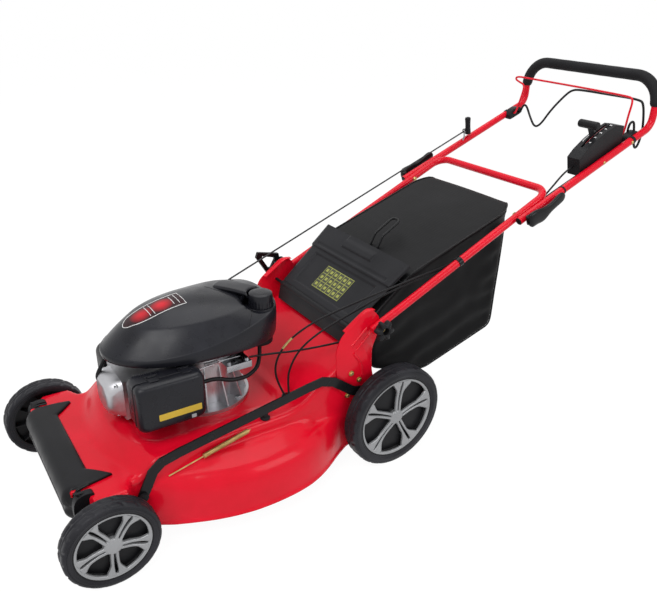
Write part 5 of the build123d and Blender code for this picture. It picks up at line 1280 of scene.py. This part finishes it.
def make_bag():
    """Cloth bag open at the mouth, with a smooth lid whose lighter tone is partly painted light,
    side piping and two seams.
    """
    loop = rounded_loop(BAG_PROFILE, 22.0, 7.0)
    cy, cz = BAG_CENTRE
    bag = Builder()
    lid_slope = (BAG_LID_END[1] - BAG_LID[1]) / (BAG_LID_END[0] - BAG_LID[0])

    def on_lid(y, z):
        return y > 760.0 and z > BAG_LID[1] + (y - BAG_LID[0]) * lid_slope - 12.0

    rows = []
    for share in (0.06 + 0.94 * i / 26 for i in range(27)):
        row = []
        for p in loop:
            y, z = cy + (p.x - cy) * share, cz + (p.y - cz) * share
            calm = min(1.0, (1 - share) * 7.0)
            hollow = 9.0 * (1 - share ** 3)
            x = bag_half(y) - 5.0 * smooth(0.94, 1.0, share) ** 2 - hollow - calm * max(
                folds(188.0, y, z) + 3.0, -2.0)
            row.append(Vector((x, y, z)))
        rows.append(row)
    side = rows[-1]
    band = []
    for share in (0.975, 0.94, 0.86, 0.74, 0.60, 0.45, 0.30, 0.15):
        row = []
        for p, edge in zip(loop, side):
            y, z = p.x, p.y
            out = Vector((0, y - cy, z - cz)).normalized()
            soft = 1 - share ** 6
            if on_lid(y, z):
                push = 2.5 * (1 - share ** 2)
            else:
                push = soft * min(max(0.6 * folds(share * 188.0, y, z), -4.0), 3.0) - 3.0 * soft
            row.append(Vector((edge.x * share if share > 0.95 else bag_half(y) * share, y, z))
                       + out * push)
        band.append(row)
    half = rows + band
    other = [[Vector((-p.x, p.y, p.z)) for p in row] for row in reversed(half)]
    whole = [[at(*p) for p in row] for row in half + other]
    bag.grid(whole, around=True, ends=True)
    # faces on the lid take the lighter lid cloth, which is partly painted light from above
    for k, face in enumerate(bag.faces):
        mid = bag.middle(face)
        if on_lid((mid.y - SHIFT_Y) / MM, mid.z / MM):
            bag.tones[k] = 1
    mouth_half, z0, z1 = MOUTH
    front = at(0, 716.0, 0).y

    def in_mouth(face):
        mid = bag.middle(face)
        return mid.y < front and abs(mid.x) < mouth_half * MM and z0 * MM < mid.z < z1 * MM

    bag.drop(in_mouth)
    bag.make("bag_cloth", "bag", ["cloth", "lid_cloth_painted_light"], "bag", ["grass_bag"], solid=2.0, seams=1.2)
    trim = Builder()
    for way in (-1, 1):
        line = [at(way * (bag_half(p.x) - 2.2), p.x, p.y) for p in loop]
        trim.sweep(line + line[:1], 2.1, 8, ends=False)
    lid = [p for p in loop if on_lid(p.x, p.y)]
    for p in (min(lid, key=lambda q: q.x), max(lid, key=lambda q: q.x)):
        edge = bag_half(p.x)
        out = Vector((0, p.x - cy, p.y - cz)).normalized() * 1.2
        trim.sweep([at(edge * t, p.x, p.y) + out * MM for t in spaced(-1.0, 1.0, 0.05)], 1.8, 8)
    trim.make("bag_piping", "bag", ["gloss_black"], "bag", seams=1.2)


# ------------------------------------------------------------------ rear flap
FLAP_HINGE = (656.0, 376.0)
FLAP_REAR = (824.0, 512.0)
FLAP_HALVES = (170.0, 186.0)
FLAP_LENGTH = math.hypot(FLAP_REAR[0] - FLAP_HINGE[0], FLAP_REAR[1] - FLAP_HINGE[1])
FLAP_UY = (FLAP_REAR[0] - FLAP_HINGE[0]) / FLAP_LENGTH
FLAP_UZ = (FLAP_REAR[1] - FLAP_HINGE[1]) / FLAP_LENGTH


def on_flap(x, s, h):
    """Point at s up the flap from its hinge, h above its underside."""
    return at(x, FLAP_HINGE[0] + FLAP_UY * s - FLAP_UZ * h,
              FLAP_HINGE[1] + FLAP_UZ * s + FLAP_UY * h)


def flap_height(share, s):
    """Moulded relief: rolled front, sunk label field, stepped rear band and its raised lip."""
    h = 6.5
    field = (smooth(0.0, 5.0, s - 24.0) * smooth(0.0, 5.0, 128.0 - s)
             * smooth(0.0, 0.03, 0.80 - abs(share)))
    h -= 4.6 * field
    h += 5.5 * smooth(138.0, 142.0, s)
    h -= (2.4 * smooth(0.03, 0.0, abs(share) - 0.86) * smooth(146.0, 149.0, s)
          * smooth(158.0, 155.0, s))
    lip = smooth(0.0, 0.02, 0.37 - abs(share)) * smooth(174.0, 178.0, s)
    h += 5.0 * lip * (1 - 0.6 * smooth(190.0, 208.0, s))
    h -= 3.0 * smooth(0.94, 1.0, abs(share)) ** 2
    h -= 5.0 * smooth(12.0, -2.0, s)
    return h


def make_flap():
    """Moulded flap, its hinge roll with a skirt and the blank panel on top."""
    flap = Builder()
    rows = []
    across = spaced(-1.0, 1.0, 0.0125)
    for s in spaced(-4.0, FLAP_LENGTH, 2.2):
        half = FLAP_HALVES[0] + (FLAP_HALVES[1] - FLAP_HALVES[0]) * s / FLAP_LENGTH
        rows.append([on_flap(half * t, s, flap_height(t, s)) for t in across])
    low = [[on_flap(half * t, s, 1.6) for t in across]
           for s, half in ((FLAP_LENGTH - 0.4, FLAP_HALVES[1]), (-4.0, FLAP_HALVES[0]))]
    flap.grid(rows + low, along=True)
    for end in (0, len(across) - 1):
        flap.face(i * len(across) + end for i in range(len(rows) + 2))
    flap.make("flap_skin", "rear_flap", ["flap_grey"], "black_plastic", ["rear_flap"], seams=0.8)
    front = Builder()
    y, z = FLAP_HINGE
    half = FLAP_HALVES[0]
    front.sweep([at(x, y, z) for x in spaced(-half + 2, half - 2, 12.0)], 8.0, 24)
    front.sweep([at(x, y, z) for x in (-half - 34.0, half + 34.0)], 3.9, 16)
    skirt = [(y - 6.0, z - 1.0), (y - 8.5, z - 3.0), (y - 12.0, z - 20.0), (y - 16.0, z - 41.0),
             (y - 14.0, z - 42.0), (y - 9.0, z - 20.0), (y - 5.0, z - 4.0)]
    front.grid([[at(x, a, b) for a, b in skirt] for x in spaced(-half + 4, half - 4, 12.0)],
               around=True, ends=True)
    front.make("flap_hinge_roll", "rear_flap", ["satin_black"], "black_plastic", seams=0.8)
    plate = Builder()
    lift = 2.4
    for height in (lift, lift - 0.8):
        plate.grid([[on_flap(x, s, height) for x in (-62.0, 62.0)] for s in (40.0, 112.0)])
    rise = on_flap(0, 0, 1) - on_flap(0, 0, 0)
    for row in range(3):
        for column in range(6):
            x = -51.5 + column * 20.6
            s = 41.8 + row * 23.4
            for half, s0, s1, height, tone in ((9.0, s, s + 21.6, 0.25, 1),
                                               (4.6, s + 6.0, s + 15.0, 0.45, 0)):
                plate.prism([on_flap(x - half, s0, lift), on_flap(x + half, s0, lift),
                             on_flap(x + half, s1, lift), on_flap(x - half, s1, lift)],
                            rise * height, tone)
    plate.make("flap_panel", "rear_flap", ["label_olive", "label_dark"], "black_plastic", seams=0.5)


# ------------------------------------------------------------------ handle brackets
BRACKET_FACE = 208.3
BRACKET_OUTLINE = [(600.0, 232.0), (590.0, 300.0), (588.0, 350.0), (602.0, 384.0),
                   (668.0, 434.0), (692.0, 437.0), (716.0, 412.0), (714.0, 372.0),
                   (696.0, 330.0), (700.0, 262.0), (722.0, 196.0), (818.0, 168.0),
                   (818.0, 122.0), (760.0, 112.0), (700.0, 150.0), (640.0, 190.0)]


def make_brackets():
    """Side plates with pressed grooves, their bolts and the axle bushes."""
    plates = Builder()
    loop = rounded_loop(BRACKET_OUTLINE, 18.0, 5.0)
    cy, cz = 668.0, 316.0
    rows = []
    for x, grow in ((204.4, -1.2), (205.2, 0.0), (207.6, 0.0), (208.4, -1.2)):
        rows.append([])
        for p in loop:
            out = Vector((p.x - cy, p.y - cz, 0)).normalized() * grow
            rows[-1].append(at(x, p.x + out.x, p.y + out.y))
    plates.grid(rows, around=True, ends=True)
    ridge = [Vector((0, 616.0, 392.0)), Vector((0, 650.0, 416.0)), Vector((0, 680.0, 436.0)),
             Vector((0, 700.0, 434.0))]
    rows = []
    for p in soften(ridge):
        rows.append([at(208.0, p.y, p.z), at(205.0, p.y - 1.0, p.z + 1.6),
                     at(196.0, p.y - 1.6, p.z + 2.0), at(192.5, p.y - 1.0, p.z + 0.6),
                     at(192.5, p.y, p.z - 0.8), at(204.0, p.y, p.z - 1.4)])
    plates.grid(rows, around=True, ends=True)
    groove = [(632.0, 352.0), (654.0, 372.0), (676.0, 392.0)]
    for dy in (0.0, 15.0):
        line = soften([at(208.4, y + dy, z - dy) for y, z in groove])
        plates.sweep(line, 3.2, 12)
    bead = [at(208.2, y, z) for y, z in ((640.0, 330.0), (662.0, 300.0), (668.0, 262.0))]
    plates.sweep(soften(bead), 4.0, 12)
    plates.mirror_x()
    plates.make("bracket_skins", "chassis", ["red_paint"], "deck_red", ["handle_brackets"],
                seams=0.8)
    bolts = Builder()
    for y, z in ((635.0, 275.0), (660.0, 250.0), (626.0, 214.0)):
        bolts.lathe([(7.6, 0.0), (7.6, 1.2), (0.3, 1.2)], at(BRACKET_FACE, y, z), RIGHT, 24)
        bolts.lathe([(5.6, 1.0), (5.6, 4.4), (4.6, 5.4), (0.3, 5.4)], at(BRACKET_FACE, y, z),
                    RIGHT, 6)
    bolts.sweep([at(x, *HANDLE_FOOT) for x in (209.0, 246.0)], 3.9, 16)
    bolts.mirror_x()
    bolts.make("bracket_bolts", "chassis", ["zinc_gold"], "steel", seams=0.6)
    bush = Builder()
    bush.lathe([(7.3, 0.0), (14.0, 0.0), (14.0, 9.0), (7.3, 9.0)], at(196.0, 792.0, 140.0),
               RIGHT, 32)
    bush.mirror_x()
    bush.make("axle_bushes", "chassis", ["satin_black"], "black_plastic", seams=0.6)


# ------------------------------------------------------------------ cables and rope
UPPER_TILT = math.radians(22.0)
LOWER_TILT = math.radians(25.0)
HANDLE_FOOT = (700.0, 395.0)
JOINT = (1156.0, 607.6)
UPPER_X = 240.6
LOWER_X = 219.3
CLIP_Y = 956.0


def upper_z(y):
    """Height of the upper tube's centre line."""
    return JOINT[1] + (y - JOINT[0]) * math.tan(UPPER_TILT)


def lower_z(y):
    """Height of the lower tube's centre line."""
    return HANDLE_FOOT[1] + (y - HANDLE_FOOT[0]) * math.tan(LOWER_TILT)


BAIL = (1583.0, upper_z(1583.0))
CABLE_SEAT = -9.5
BRAKE_X, DRIVE_X = 217.6, 224.4


def beside_bail(x, s, t):
    """Point s along the upper tube from the bail holder's middle, t above its centre line."""
    c, n = math.cos(UPPER_TILT), math.sin(UPPER_TILT)
    return (x, BAIL[0] + s * c - t * n, BAIL[1] + s * n + t * c)


CABLES = {
    "brake_cable": [beside_bail(BRAKE_X, -28, CABLE_SEAT), beside_bail(BRAKE_X, -72, CABLE_SEAT),
                    (208.0, 1440.0, 704.0), (203.0, 1320.0, 654.0), (202.0, 1180.0, 598.0),
                    (200.0, 1060.0, 546.0), (202.0, 955.0, 505.0), (199.0, 850.0, 492.0),
                    (196.0, 738.0, 474.0), (172.0, 640.0, 444.0), (146.0, 556.0, 410.0),
                    (124.0, 500.0, 364.0), (114.0, 472.0, 312.0), (120.0, 470.0, 262.0),
                    (143.0, 482.0, 226.0)],
    "drive_cable": [beside_bail(DRIVE_X, -28, CABLE_SEAT), beside_bail(DRIVE_X, -72, CABLE_SEAT),
                    (202.0, 1440.0, 698.0), (196.0, 1320.0, 647.0), (195.0, 1180.0, 590.0),
                    (194.0, 1060.0, 538.0), (196.0, 955.0, 497.0), (195.0, 850.0, 482.0),
                    (192.5, 744.0, 463.0), (176.0, 650.0, 424.0), (156.0, 574.0, 386.0),
                    (138.0, 524.0, 340.0), (131.0, 500.0, 286.0), (138.0, 494.0, 252.0),
                    (150.0, 490.0, 228.0)],
    "throttle_cable": [(208.0, 1368.7, 713.9), (208.0, 1340.0, 705.6), (203.0, 1296.0, 660.0),
                       (203.0, 1240.0, 615.0), (203.0, 1180.0, 594.0), (203.0, 1060.0, 556.0),
                       (203.0, 955.0, 513.0), (203.0, 860.0, 456.0), (202.0, 770.0, 402.0),
                       (191.0, 690.0, 362.0), (160.0, 622.0, 342.0), (130.0, 520.0, 334.0),
                       (116.0, 462.0, 338.0), (112.0, 404.0, 343.4)],
}
CABLE_R = 2.6
ROPE_R = 2.2
ROPE_TAIL_R = 1.55
ROPE_SPLIT = 1040.0
CABLE_SPLIT = 1000.0
ROPE_START = (-80.0, 430.0, 455.0)
ROPE_GUIDE = (-232.0, 1372.0, 733.0)


def split_line(line, y):
    """Two lines that share the point nearest to the plane at y."""
    where = at(0, y, 0).y
    k = min(range(1, len(line) - 1), key=lambda i: abs(line[i].y - where))
    return line[:k + 1], line[k:]


def make_cables():
    """Each cable in two pieces, split near where the handles fold, with its end fittings."""
    for name, route in CABLES.items():
        line = spline([at(*p) for p in route], 5.0)
        high, low = split_line(line, CABLE_SPLIT)
        for suffix, part, pair, start, end in (
                ("_upper", high, ("lower_handle", "upper_handle"), 1090.0, 1220.0),
                ("_lower", low, ("chassis", "lower_handle"), 560.0, 900.0)):
            tube = Builder()
            tube.sweep(part, CABLE_R, 12)
            replaced = ["control_cables"] if name == "brake_cable" and suffix == "_upper" else []
            piece = tube.make(name + suffix, None, ["cable"], "rubber", replaced, seams=1.2)
            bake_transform(piece)
    ferrules = Builder()
    line = spline([at(*p) for p in CABLES["brake_cable"]], 5.0)
    k = int(len(line) * 0.87)
    ferrules.sweep(line[k:k + 8], 3.1, 12)
    ferrules.make("cable_adjuster", "chassis", ["zinc_gold"], "steel", seams=0.8)
    ends = Builder()
    for x in (BRAKE_X, DRIVE_X):
        line = [at(*beside_bail(x, s, CABLE_SEAT)) for s in (-29, -46, -58)]
        ends.sweep(line, lambda share: 4.4 - 1.4 * share, 14)
    ends.make("cable_ends", "upper_handle", ["satin_black"], "black_plastic", seams=0.8)


def make_rope():
    """Starter rope in two pieces, split near where the handles fold, with its tail and the T grip.
    """
    a, b = at(*ROPE_START), at(*ROPE_GUIDE)
    unit = (b - a).normalized()
    inner = [at(-31.9, 325, 398), at(-33.0, 372, 398.6), at(-52.0, 402, 421), a]
    line = spline(inner + [a.lerp(b, 0.06), a.lerp(b, 0.5), b, b + unit * 8 * MM], 6.0)
    low, high = split_line(line, ROPE_SPLIT)

    def strand(part):
        rope = Builder()
        rope.sweep(part, ROPE_R, 10)
        return rope

    piece = strand(low).make("rope_lower", None, ["rope"], "rubber", ["starter_rope"], seams=1.2)
    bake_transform(piece)
    piece = strand(high).make("rope_upper", None, ["rope"], "rubber", seams=1.2)
    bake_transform(piece)
    tail = Builder()
    tail.sweep([b + unit * s * MM for s in spaced(-180.0, 20.0, 10.0)], ROPE_TAIL_R, 10)
    tail.make("rope_tail", "starter_grip", ["rope"], "rubber", seams=1.2)
    grip = Builder()
    middle = b + unit * 18 * MM
    tilt = Vector((0, -0.16, 1.0)).normalized()
    profile = [(0.4, -17.0), (5.0, -17.0), (8.4, -15.5), (9.4, -12.0), (8.9, -4.0), (8.3, 6.0),
               (8.3, 18.0), (8.9, 28.0), (9.3, 33.0), (8.2, 36.5), (5.0, 37.8), (0.4, 38.0)]
    grip.lathe(profile, middle, tilt, 32)
    grip.lathe([(3.4, -10.0), (6.4, -9.0), (6.6, 0.0)], middle, unit, 20)
    grip.make("starter_grip_skin", "starter_grip", ["satin_black"], "black_plastic",
              ["starter_grip"], seams=0.7)


# ------------------------------------------------------------------ tubes and bails
TUBE_R = 10.5
LOWER_START = 684.0
CROSSBAR = 1268.0
UPPER_START = 1138.0
GRIP = (1650.0, 940.0)


def make_tubes():
    """Bent handle tubes: the lower one with its crossbar, the upper one with its grip bow."""
    lower = Builder()
    route = [(LOWER_X, LOWER_START), (LOWER_X, CROSSBAR), (-LOWER_X, CROSSBAR),
             (-LOWER_X, LOWER_START)]
    lower.sweep(bent([at(x, y, lower_z(y)) for x, y in route], [42.0] * 2, 6.0), TUBE_R, 48)
    for way in (-1, 1):
        lower.sweep([at(way * LOWER_X, *JOINT), at(way * 251.6, *JOINT)], 4.0, 16, 1)
    lower.make("lower_tube", "lower_handle", ["red_paint", "zinc_gold"], "deck_red",
               ["lower_handle"], seams=1.0)
    upper = Builder()
    grip_y, grip_z = GRIP
    route = [at(UPPER_X, UPPER_START, upper_z(UPPER_START)), at(UPPER_X, grip_y, upper_z(grip_y)),
             at(UPPER_X, grip_y, grip_z), at(-UPPER_X, grip_y, grip_z),
             at(-UPPER_X, grip_y, upper_z(grip_y)), at(-UPPER_X, UPPER_START,
                                                       upper_z(UPPER_START))]
    upper.sweep(bent(route, [40.0, 75.0, 75.0, 40.0], 6.0), TUBE_R, 48)
    upper.make("upper_tube", "upper_handle", ["red_paint"], "deck_red", ["upper_handle"],
               seams=1.0)
    caps = Builder()
    for way in (-1, 1):
        start = at(way * UPPER_X, UPPER_START, upper_z(UPPER_START))
        slope = at(way * UPPER_X, UPPER_START + 1, upper_z(UPPER_START + 1)) - start
        caps.lathe([(0.4, -1.6), (8.6, -1.6), (9.6, -0.6), (9.6, 2.0)], start,
                   slope.normalized(), 28)
    eye = at(*ROPE_GUIDE)
    rope_way = (eye - at(*ROPE_START)).normalized()
    ring = [(6.4 + 1.8 * math.cos(a), 1.8 * math.sin(a))
            for a in turns(12) + [2 * math.pi]]
    caps.lathe(ring, eye, rope_way, 28)
    foot = at(-UPPER_X + 4.0, ROPE_GUIDE[1], upper_z(ROPE_GUIDE[1]) + 4.0)
    caps.sweep([foot, foot.lerp(eye, 0.5) + RIGHT * (4.0 * MM), eye + UP * (-7 * MM)],
               2.4, 12, 1)
    caps.make("tube_fittings", "upper_handle", ["satin_black", "steel"], "black_plastic",
              seams=0.8)


RED_PIVOT = (1573.0, 779.1)
BLACK_PIVOT = (1595.0, 781.1)
RED_ROUTE = [(228.0, *RED_PIVOT), (212.0, *RED_PIVOT), (205.5, 1573.4, 781.0),
             (207.7, 1576.0, 797.0), (205.3, 1583.0, 838.0), (206.5, 1588.0, 872.0),
             (201.0, 1590.0, 884.0), (184.0, 1590.0, 886.5), (90.0, 1590.0, 889.0),
             (0.0, 1590.0, 890.5), (-90.0, 1590.0, 891.5), (-196.0, 1590.0, 892.5),
             (-224.0, 1590.0, 893.0), (-240.0, 1590.0, 889.5), (-238.0, 1590.0, 882.5),
             (-222.0, 1589.0, 877.0), (-200.0, 1587.0, 872.0), (-195.0, 1585.0, 858.0),
             (-202.0, 1577.0, 806.0), (-206.0, 1573.4, 783.0), (-212.0, *RED_PIVOT),
             (-228.0, *RED_PIVOT)]
BLACK_ROUTE = [(228.0, *BLACK_PIVOT), (214.0, *BLACK_PIVOT), (211.0, 1588.0, 784.0),
               (216.0, 1578.0, 800.0), (221.0, 1575.0, 820.0), (223.0, 1590.0, 824.0),
               (223.0, 1600.0, 792.0), (223.0, 1616.0, 745.0), (223.0, 1632.0, 746.0),
               (223.0, 1641.0, 778.0), (222.0, 1640.0, 812.0), (221.0, 1622.0, 868.0),
               (208.0, 1620.0, 879.0), (100.0, 1620.0, 879.0), (0.0, 1620.0, 879.0),
               (-30.0, 1620.0, 875.0), (-52.0, 1618.0, 857.0), (-92.0, 1610.0, 806.0),
               (-118.0, 1602.0, 756.0), (-140.0, 1600.0, 744.0), (-164.0, 1600.0, 772.0),
               (-186.0, 1599.0, 808.0), (-198.0, 1597.0, 806.0), (-204.0, 1595.0, 786.0),
               (-212.0, *BLACK_PIVOT), (-228.0, *BLACK_PIVOT)]


def make_bails():
    for name, body, route, radius, finish, slot in (
            ("drive_bail", "drive_bail", RED_ROUTE, 3.0, "red_paint", "red_wire"),
            ("blade_bail", "blade_bail", BLACK_ROUTE, 3.4, "gloss_black", "black_metal")):
        wire = Builder()
        wire.sweep(spline([at(*p) for p in route], 3.0), radius, 16)
        wire.make(name + "_wire", body, [finish], slot, [name], seams=1.0)


def make_holders():
    """Clamps on the inner side of both upper tubes, with a strap and a screw on each tube."""
    holders = Builder()
    for way in (-1, 1):
        corners = [(-28, -12), (26, -12), (30, -6), (27, 6), (14, 15), (-14, 15), (-27, 5),
                   (-31, -5)]
        rows = []
        for x, grow in ((212.5, -2.2), (214.5, 0.0), (228.0, 0.0), (238.0, -1.5)):
            ring = [beside_bail(way * x, s * (1 + grow / 30), t * (1 + grow / 15))
                    for s, t in corners]
            closed = [at(*p) for p in ring]
            row = []
            for a, b in zip(closed, closed[1:] + closed[:1]):
                row += [a * 0.8 + b * 0.2, a * 0.2 + b * 0.8]
            rows.append(row)
        holders.grid(rows, around=True, ends=True)
        c, n = math.cos(UPPER_TILT), math.sin(UPPER_TILT)
        for y, size in ((1561.0, 4.6), (1447.0, 4.4)):
            face = at(way * (UPPER_X + TUBE_R - 0.6), y, upper_z(y))
            holders.lathe([(size, 0.0), (size, 1.6), (size * 0.7, 2.6), (0.4, 2.8)], face,
                          RIGHT * way, 20, 1)
        band = at(way * UPPER_X, BAIL[0] - 14.0 * c, BAIL[1] - 14.0 * n)
        holders.lathe([(10.7, -5.0), (12.0, -4.4), (12.0, 4.4), (10.7, 5.0)], band,
                      Vector((0, c, n)), 32)
    holders.make("holder_skins", "upper_handle", ["satin_black", "zinc_gold"], "black_plastic",
                 ["bail_holders"], seams=0.6)


# ------------------------------------------------------------------ grip, knobs and levers
FOAM_R = 16.0
GRIP_STEP = 4.0


def make_foam_grip():
    low, high, _ = box("foam_grip")
    half, y, z = (high.x - low.x) / 2 / MM - FOAM_R, GRIP[0], high.z / MM - FOAM_R
    corners = [at(half, y, low.z / MM + 1), at(half, y, z), at(-half, y, z),
               at(-half, y, low.z / MM + 1)]
    line = bent(corners, [75.0] * 2, GRIP_STEP)
    count = len(line)

    def size(share):
        end = min(share, 1 - share) * count * GRIP_STEP
        return (FOAM_R - 3.6 * (1 - smooth(0.0, 7.0, end)) + 0.12 * math.sin(share * 61.0))

    foam = Builder()
    foam.sweep(line, size, 32)
    piece = foam.make("foam_grip_skin", "upper_handle", ["foam"], "foam", ["foam_grip"], seams=1.2)


KNOB_FACE = 230.1
CAM_FACE = 260.1


def make_knobs():
    """Fluted knobs at the foot of the lower handle."""
    def lobed(turn, r, a):
        if r < 13.5:
            return r
        wave = 0.5 + 0.5 * math.cos(6 * (turn - math.radians(10)))
        return r + 1.5 - 10.5 * (1 - wave) ** 1.3

    for side, way in (("left", 1), ("right", -1)):
        knob = Builder()
        profile = [(4.2, 0.0), (13.0, 0.0), (13.0, 7.0), (22.0, 8.0), (25.0, 10.0), (25.4, 14.0),
                   (25.2, 20.0), (23.6, 24.6), (19.0, 27.0), (12.5, 27.6), (9.6, 25.0),
                   (9.0, 15.0), (0.4, 15.0)]
        knob.lathe(profile, at(way * KNOB_FACE, *HANDLE_FOOT), RIGHT * way, 90, wave=lobed)
        name = "handle_knob_" + side
        knob.make(name + "_skin", "knob_" + side, ["satin_black"], "black_plastic", [name],
                  seams=0.7)


def make_cams():
    """Cam levers on the joint bolts: a round head and a bowed paddle."""
    c, n = math.cos(UPPER_TILT), math.sin(UPPER_TILT)
    along, up = Vector((0, c, n)), Vector((0, -n, c))
    for end, way in (("left", 1), ("right", -1)):
        head = at(way * CAM_FACE, *JOINT)
        paddle = Builder()
        paddle.lathe([(0.4, -12.5), (6.8, -12.5), (8.4, -11.0), (8.5, 0.0), (8.4, 11.0),
                      (6.8, 12.5), (0.4, 12.5)], head, up, 32)
        rows = []
        for s in spaced(-8.4, 130.0, 2.5):
            tip = math.sqrt(max(1 - max((s - 112.0) / 18.4, 0.0) ** 2, 0.0))
            nose = math.sqrt(max(1 - max((4.0 - s) / 13.0, 0.0) ** 2, 0.0))
            taper = tip * nose
            width = 21.0 - 8.0 * smooth(30.0, 76.0, s) + 1.5 * smooth(84.0, 108.0, s)
            width *= max(taper, 0.06)
            middle = (-1.0 - 4.0 * math.exp(-((s - 44.0) / 20.0) ** 2)
                      + 6.0 * smooth(60.0, 120.0, s))
            thick = (5.2 + 2.6 * math.exp(-((s - 10.0) / 26.0) ** 2)) * max(taper ** 0.5, 0.2)
            bow = way * (5.0 + 3.2 * smooth(10.0, 60.0, s) - 1.4 * smooth(80.0, 130.0, s))
            row = []
            for turn in turns(20):
                a = math.copysign(abs(math.cos(turn)) ** 0.7, math.cos(turn))
                b = math.copysign(abs(math.sin(turn)) ** 0.7, math.sin(turn))
                row.append(head + (along * s + up * (middle + width * a)) * MM
                           + RIGHT * ((bow + thick * b) * MM))
            rows.append(row)
        paddle.grid(rows, around=True, ends=True)
        name = "cam_lever_" + end
        paddle.make(name + "_skin", "cam_" + end, ["gloss_black"], "black_plastic", [name],
                    seams=0.9)


def make_joint_bolts():
    """Clamp bolts, the cable clip and the cable tie on the handles."""
    bolts = Builder()
    for way in (-1, 1):
        bolts.lathe([(6.6, 0.0), (6.6, 2.0), (5.0, 4.0), (0.4, 4.4)],
                    at(way * (LOWER_X - 10.6), *JOINT), RIGHT * -way, 24)
    bolts.make("clamp_bolts", "lower_handle", ["zinc_gold"], "steel", seams=0.6)
    clip = Builder()
    d = Vector((0, math.cos(LOWER_TILT), math.sin(LOWER_TILT)))
    mid = at(LOWER_X, CLIP_Y, lower_z(CLIP_Y))
    clip.lathe([(10.6, -7.0), (12.4, -7.0), (12.4, 7.0), (10.6, 7.0)], mid, d, 36)
    up = Vector((0, -d.z, d.y))
    base = mid + RIGHT * (-14.0 * MM) + up * 2.0 * MM
    ring = [base + d * s * MM + up * t * MM for s, t in ((-7, -6), (7, -6), (7, 6), (-7, 6))]
    clip.prism(ring, RIGHT * (6.0 * MM))
    clip.make("cable_clip", "lower_handle", ["gloss_black"], "black_plastic", bevel=0.6, seams=0.6)
    tie = Builder()
    d = Vector((0, math.cos(UPPER_TILT), math.sin(UPPER_TILT)))
    mid = at(UPPER_X, 1296.0, upper_z(1296.0))
    tie.lathe([(10.6, -2.2), (11.9, -2.2), (11.9, 2.2), (10.6, 2.2)], mid, d, 30)
    tie.make("cable_tie", "upper_handle", ["gloss_black"], "black_plastic", seams=0.6)


BOX_TOP = [(1382.0, 758.0), (1420.0, 784.0), (1462.0, 806.0), (1502.0, 820.0)]


def on_box(x, y, lift):
    """Point on the control box's sloping top."""
    return at(x, y, catmull(BOX_TOP, y) + lift)


def make_throttle_details():
    """Arc slot with a red strip and plain white marks on the control box's top."""
    dial = Builder()
    for x0, x1, y0, y1, lift, tone in (
            (199.5, 202.0, 1396.0, 1494.0, 1.8, 1), (210.0, 212.5, 1396.0, 1494.0, 1.8, 1),
            (208.2, 210.2, 1400.0, 1478.0, 1.0, 0), (193.0, 195.0, 1402.0, 1438.0, 0.9, 2),
            (215.0, 221.0, 1408.0, 1412.0, 0.9, 2), (215.0, 221.0, 1428.0, 1431.0, 0.9, 2),
            (215.0, 222.0, 1448.0, 1452.0, 0.9, 2), (215.0, 221.0, 1468.0, 1471.0, 0.9, 2),
            (215.0, 222.0, 1488.0, 1492.0, 0.9, 2), (198.0, 200.0, 1384.0, 1394.0, 0.9, 2)):
        line = spaced(y0, y1, 4.0)
        low = [[on_box(x, y, -1.0) for y in line] for x in (x0, x1)]
        high = [[on_box(x, y, lift) for y in line] for x in (x0, x1)]
        dial.grid([low[0], high[0], high[1], low[1]], tone)
    dial.make("throttle_dial", "upper_handle", ["badge_red", "satin_black", "white_mark"],
              "black_plastic", seams=0.6)


# ------------------------------------------------------------------ spring and small deck parts
SPRING_X = 212.9


def make_spring():
    start, end = at(SPRING_X, 232.0, 187.5), at(SPRING_X, 344.0, 214.0)
    axis = (end - start).normalized()
    other = axis.cross(RIGHT)
    coils = 44
    coil = []
    for i in range(coils * COIL_STEPS + 1):
        t = i / (coils * COIL_STEPS)
        turn = 2 * math.pi * coils * t
        out = RIGHT * math.cos(turn) + other * math.sin(turn)
        coil.append(start.lerp(end, t) + out * 5.3 * MM)
    spring = Builder()
    spring.sweep(coil, 1.15, 6)
    spring.sweep([start, at(SPRING_X, 190.0, 177.6), at(SPRING_X, 150.0, 168.0)], 1.6, 10)
    hook = [end, end + axis * 7 * MM, at(209.0, 352.0, 213.0), at(205.0, 348.0, 209.0)]
    spring.sweep(spline(hook, 2.0), 1.4, 10)
    spring.make("spring_coil", "chassis", ["zinc_gold"], "steel", ["lift_spring"], seams=1.2)


def make_deck_fittings():
    fit = Builder()
    x, y = 188.0, 402.0
    z = deck_top(x, y)
    fit.lathe([(12.0, -1.5), (12.0, 2.0), (10.0, 3.6), (7.4, 4.2), (6.8, 10.0), (7.8, 11.0),
               (7.8, 13.0), (6.6, 14.0), (6.6, 17.0), (7.8, 18.0), (7.6, 24.0), (5.4, 26.0),
               (4.4, 26.0), (4.4, 16.0), (0.3, 15.0)], at(x, y, z), UP, 36)
    fit.make("nozzle_skin", "chassis", ["satin_black"], "black_plastic", ["wash_nozzle"], seams=0.7)
    ring = Builder()
    x, y = 146.0, 486.0
    z = deck_top(x, y) + 1.0
    ring.lathe([(5.5, 6.0), (8.0, 5.4), (12.5, 3.6), (13.6, 0.5), (13.6, -3.0)], at(x, y, z),
               UP, 36)
    ring.make("cable_grommet", "chassis", ["gloss_black"], "black_plastic", seams=0.8)


# ------------------------------------------------------------------ the scene
PIECES = (make_deck, make_bumper, make_cowl, make_cap_lobe, make_cowl_details, make_fuel_cap,
          make_air_cleaner, make_head_cover, make_plug_boot, make_guard, make_carburettor_details,
          make_wheels, make_bag, make_flap, make_brackets, make_cables, make_rope, make_tubes,
          make_bails, make_holders, make_foam_grip, make_knobs, make_cams, make_joint_bolts,
          make_throttle_details, make_spring, make_deck_fittings)

make_camera()
make_studio()
MATERIALS.update(make_materials())
dress_nodes()
for make_piece in PIECES:
    make_piece()
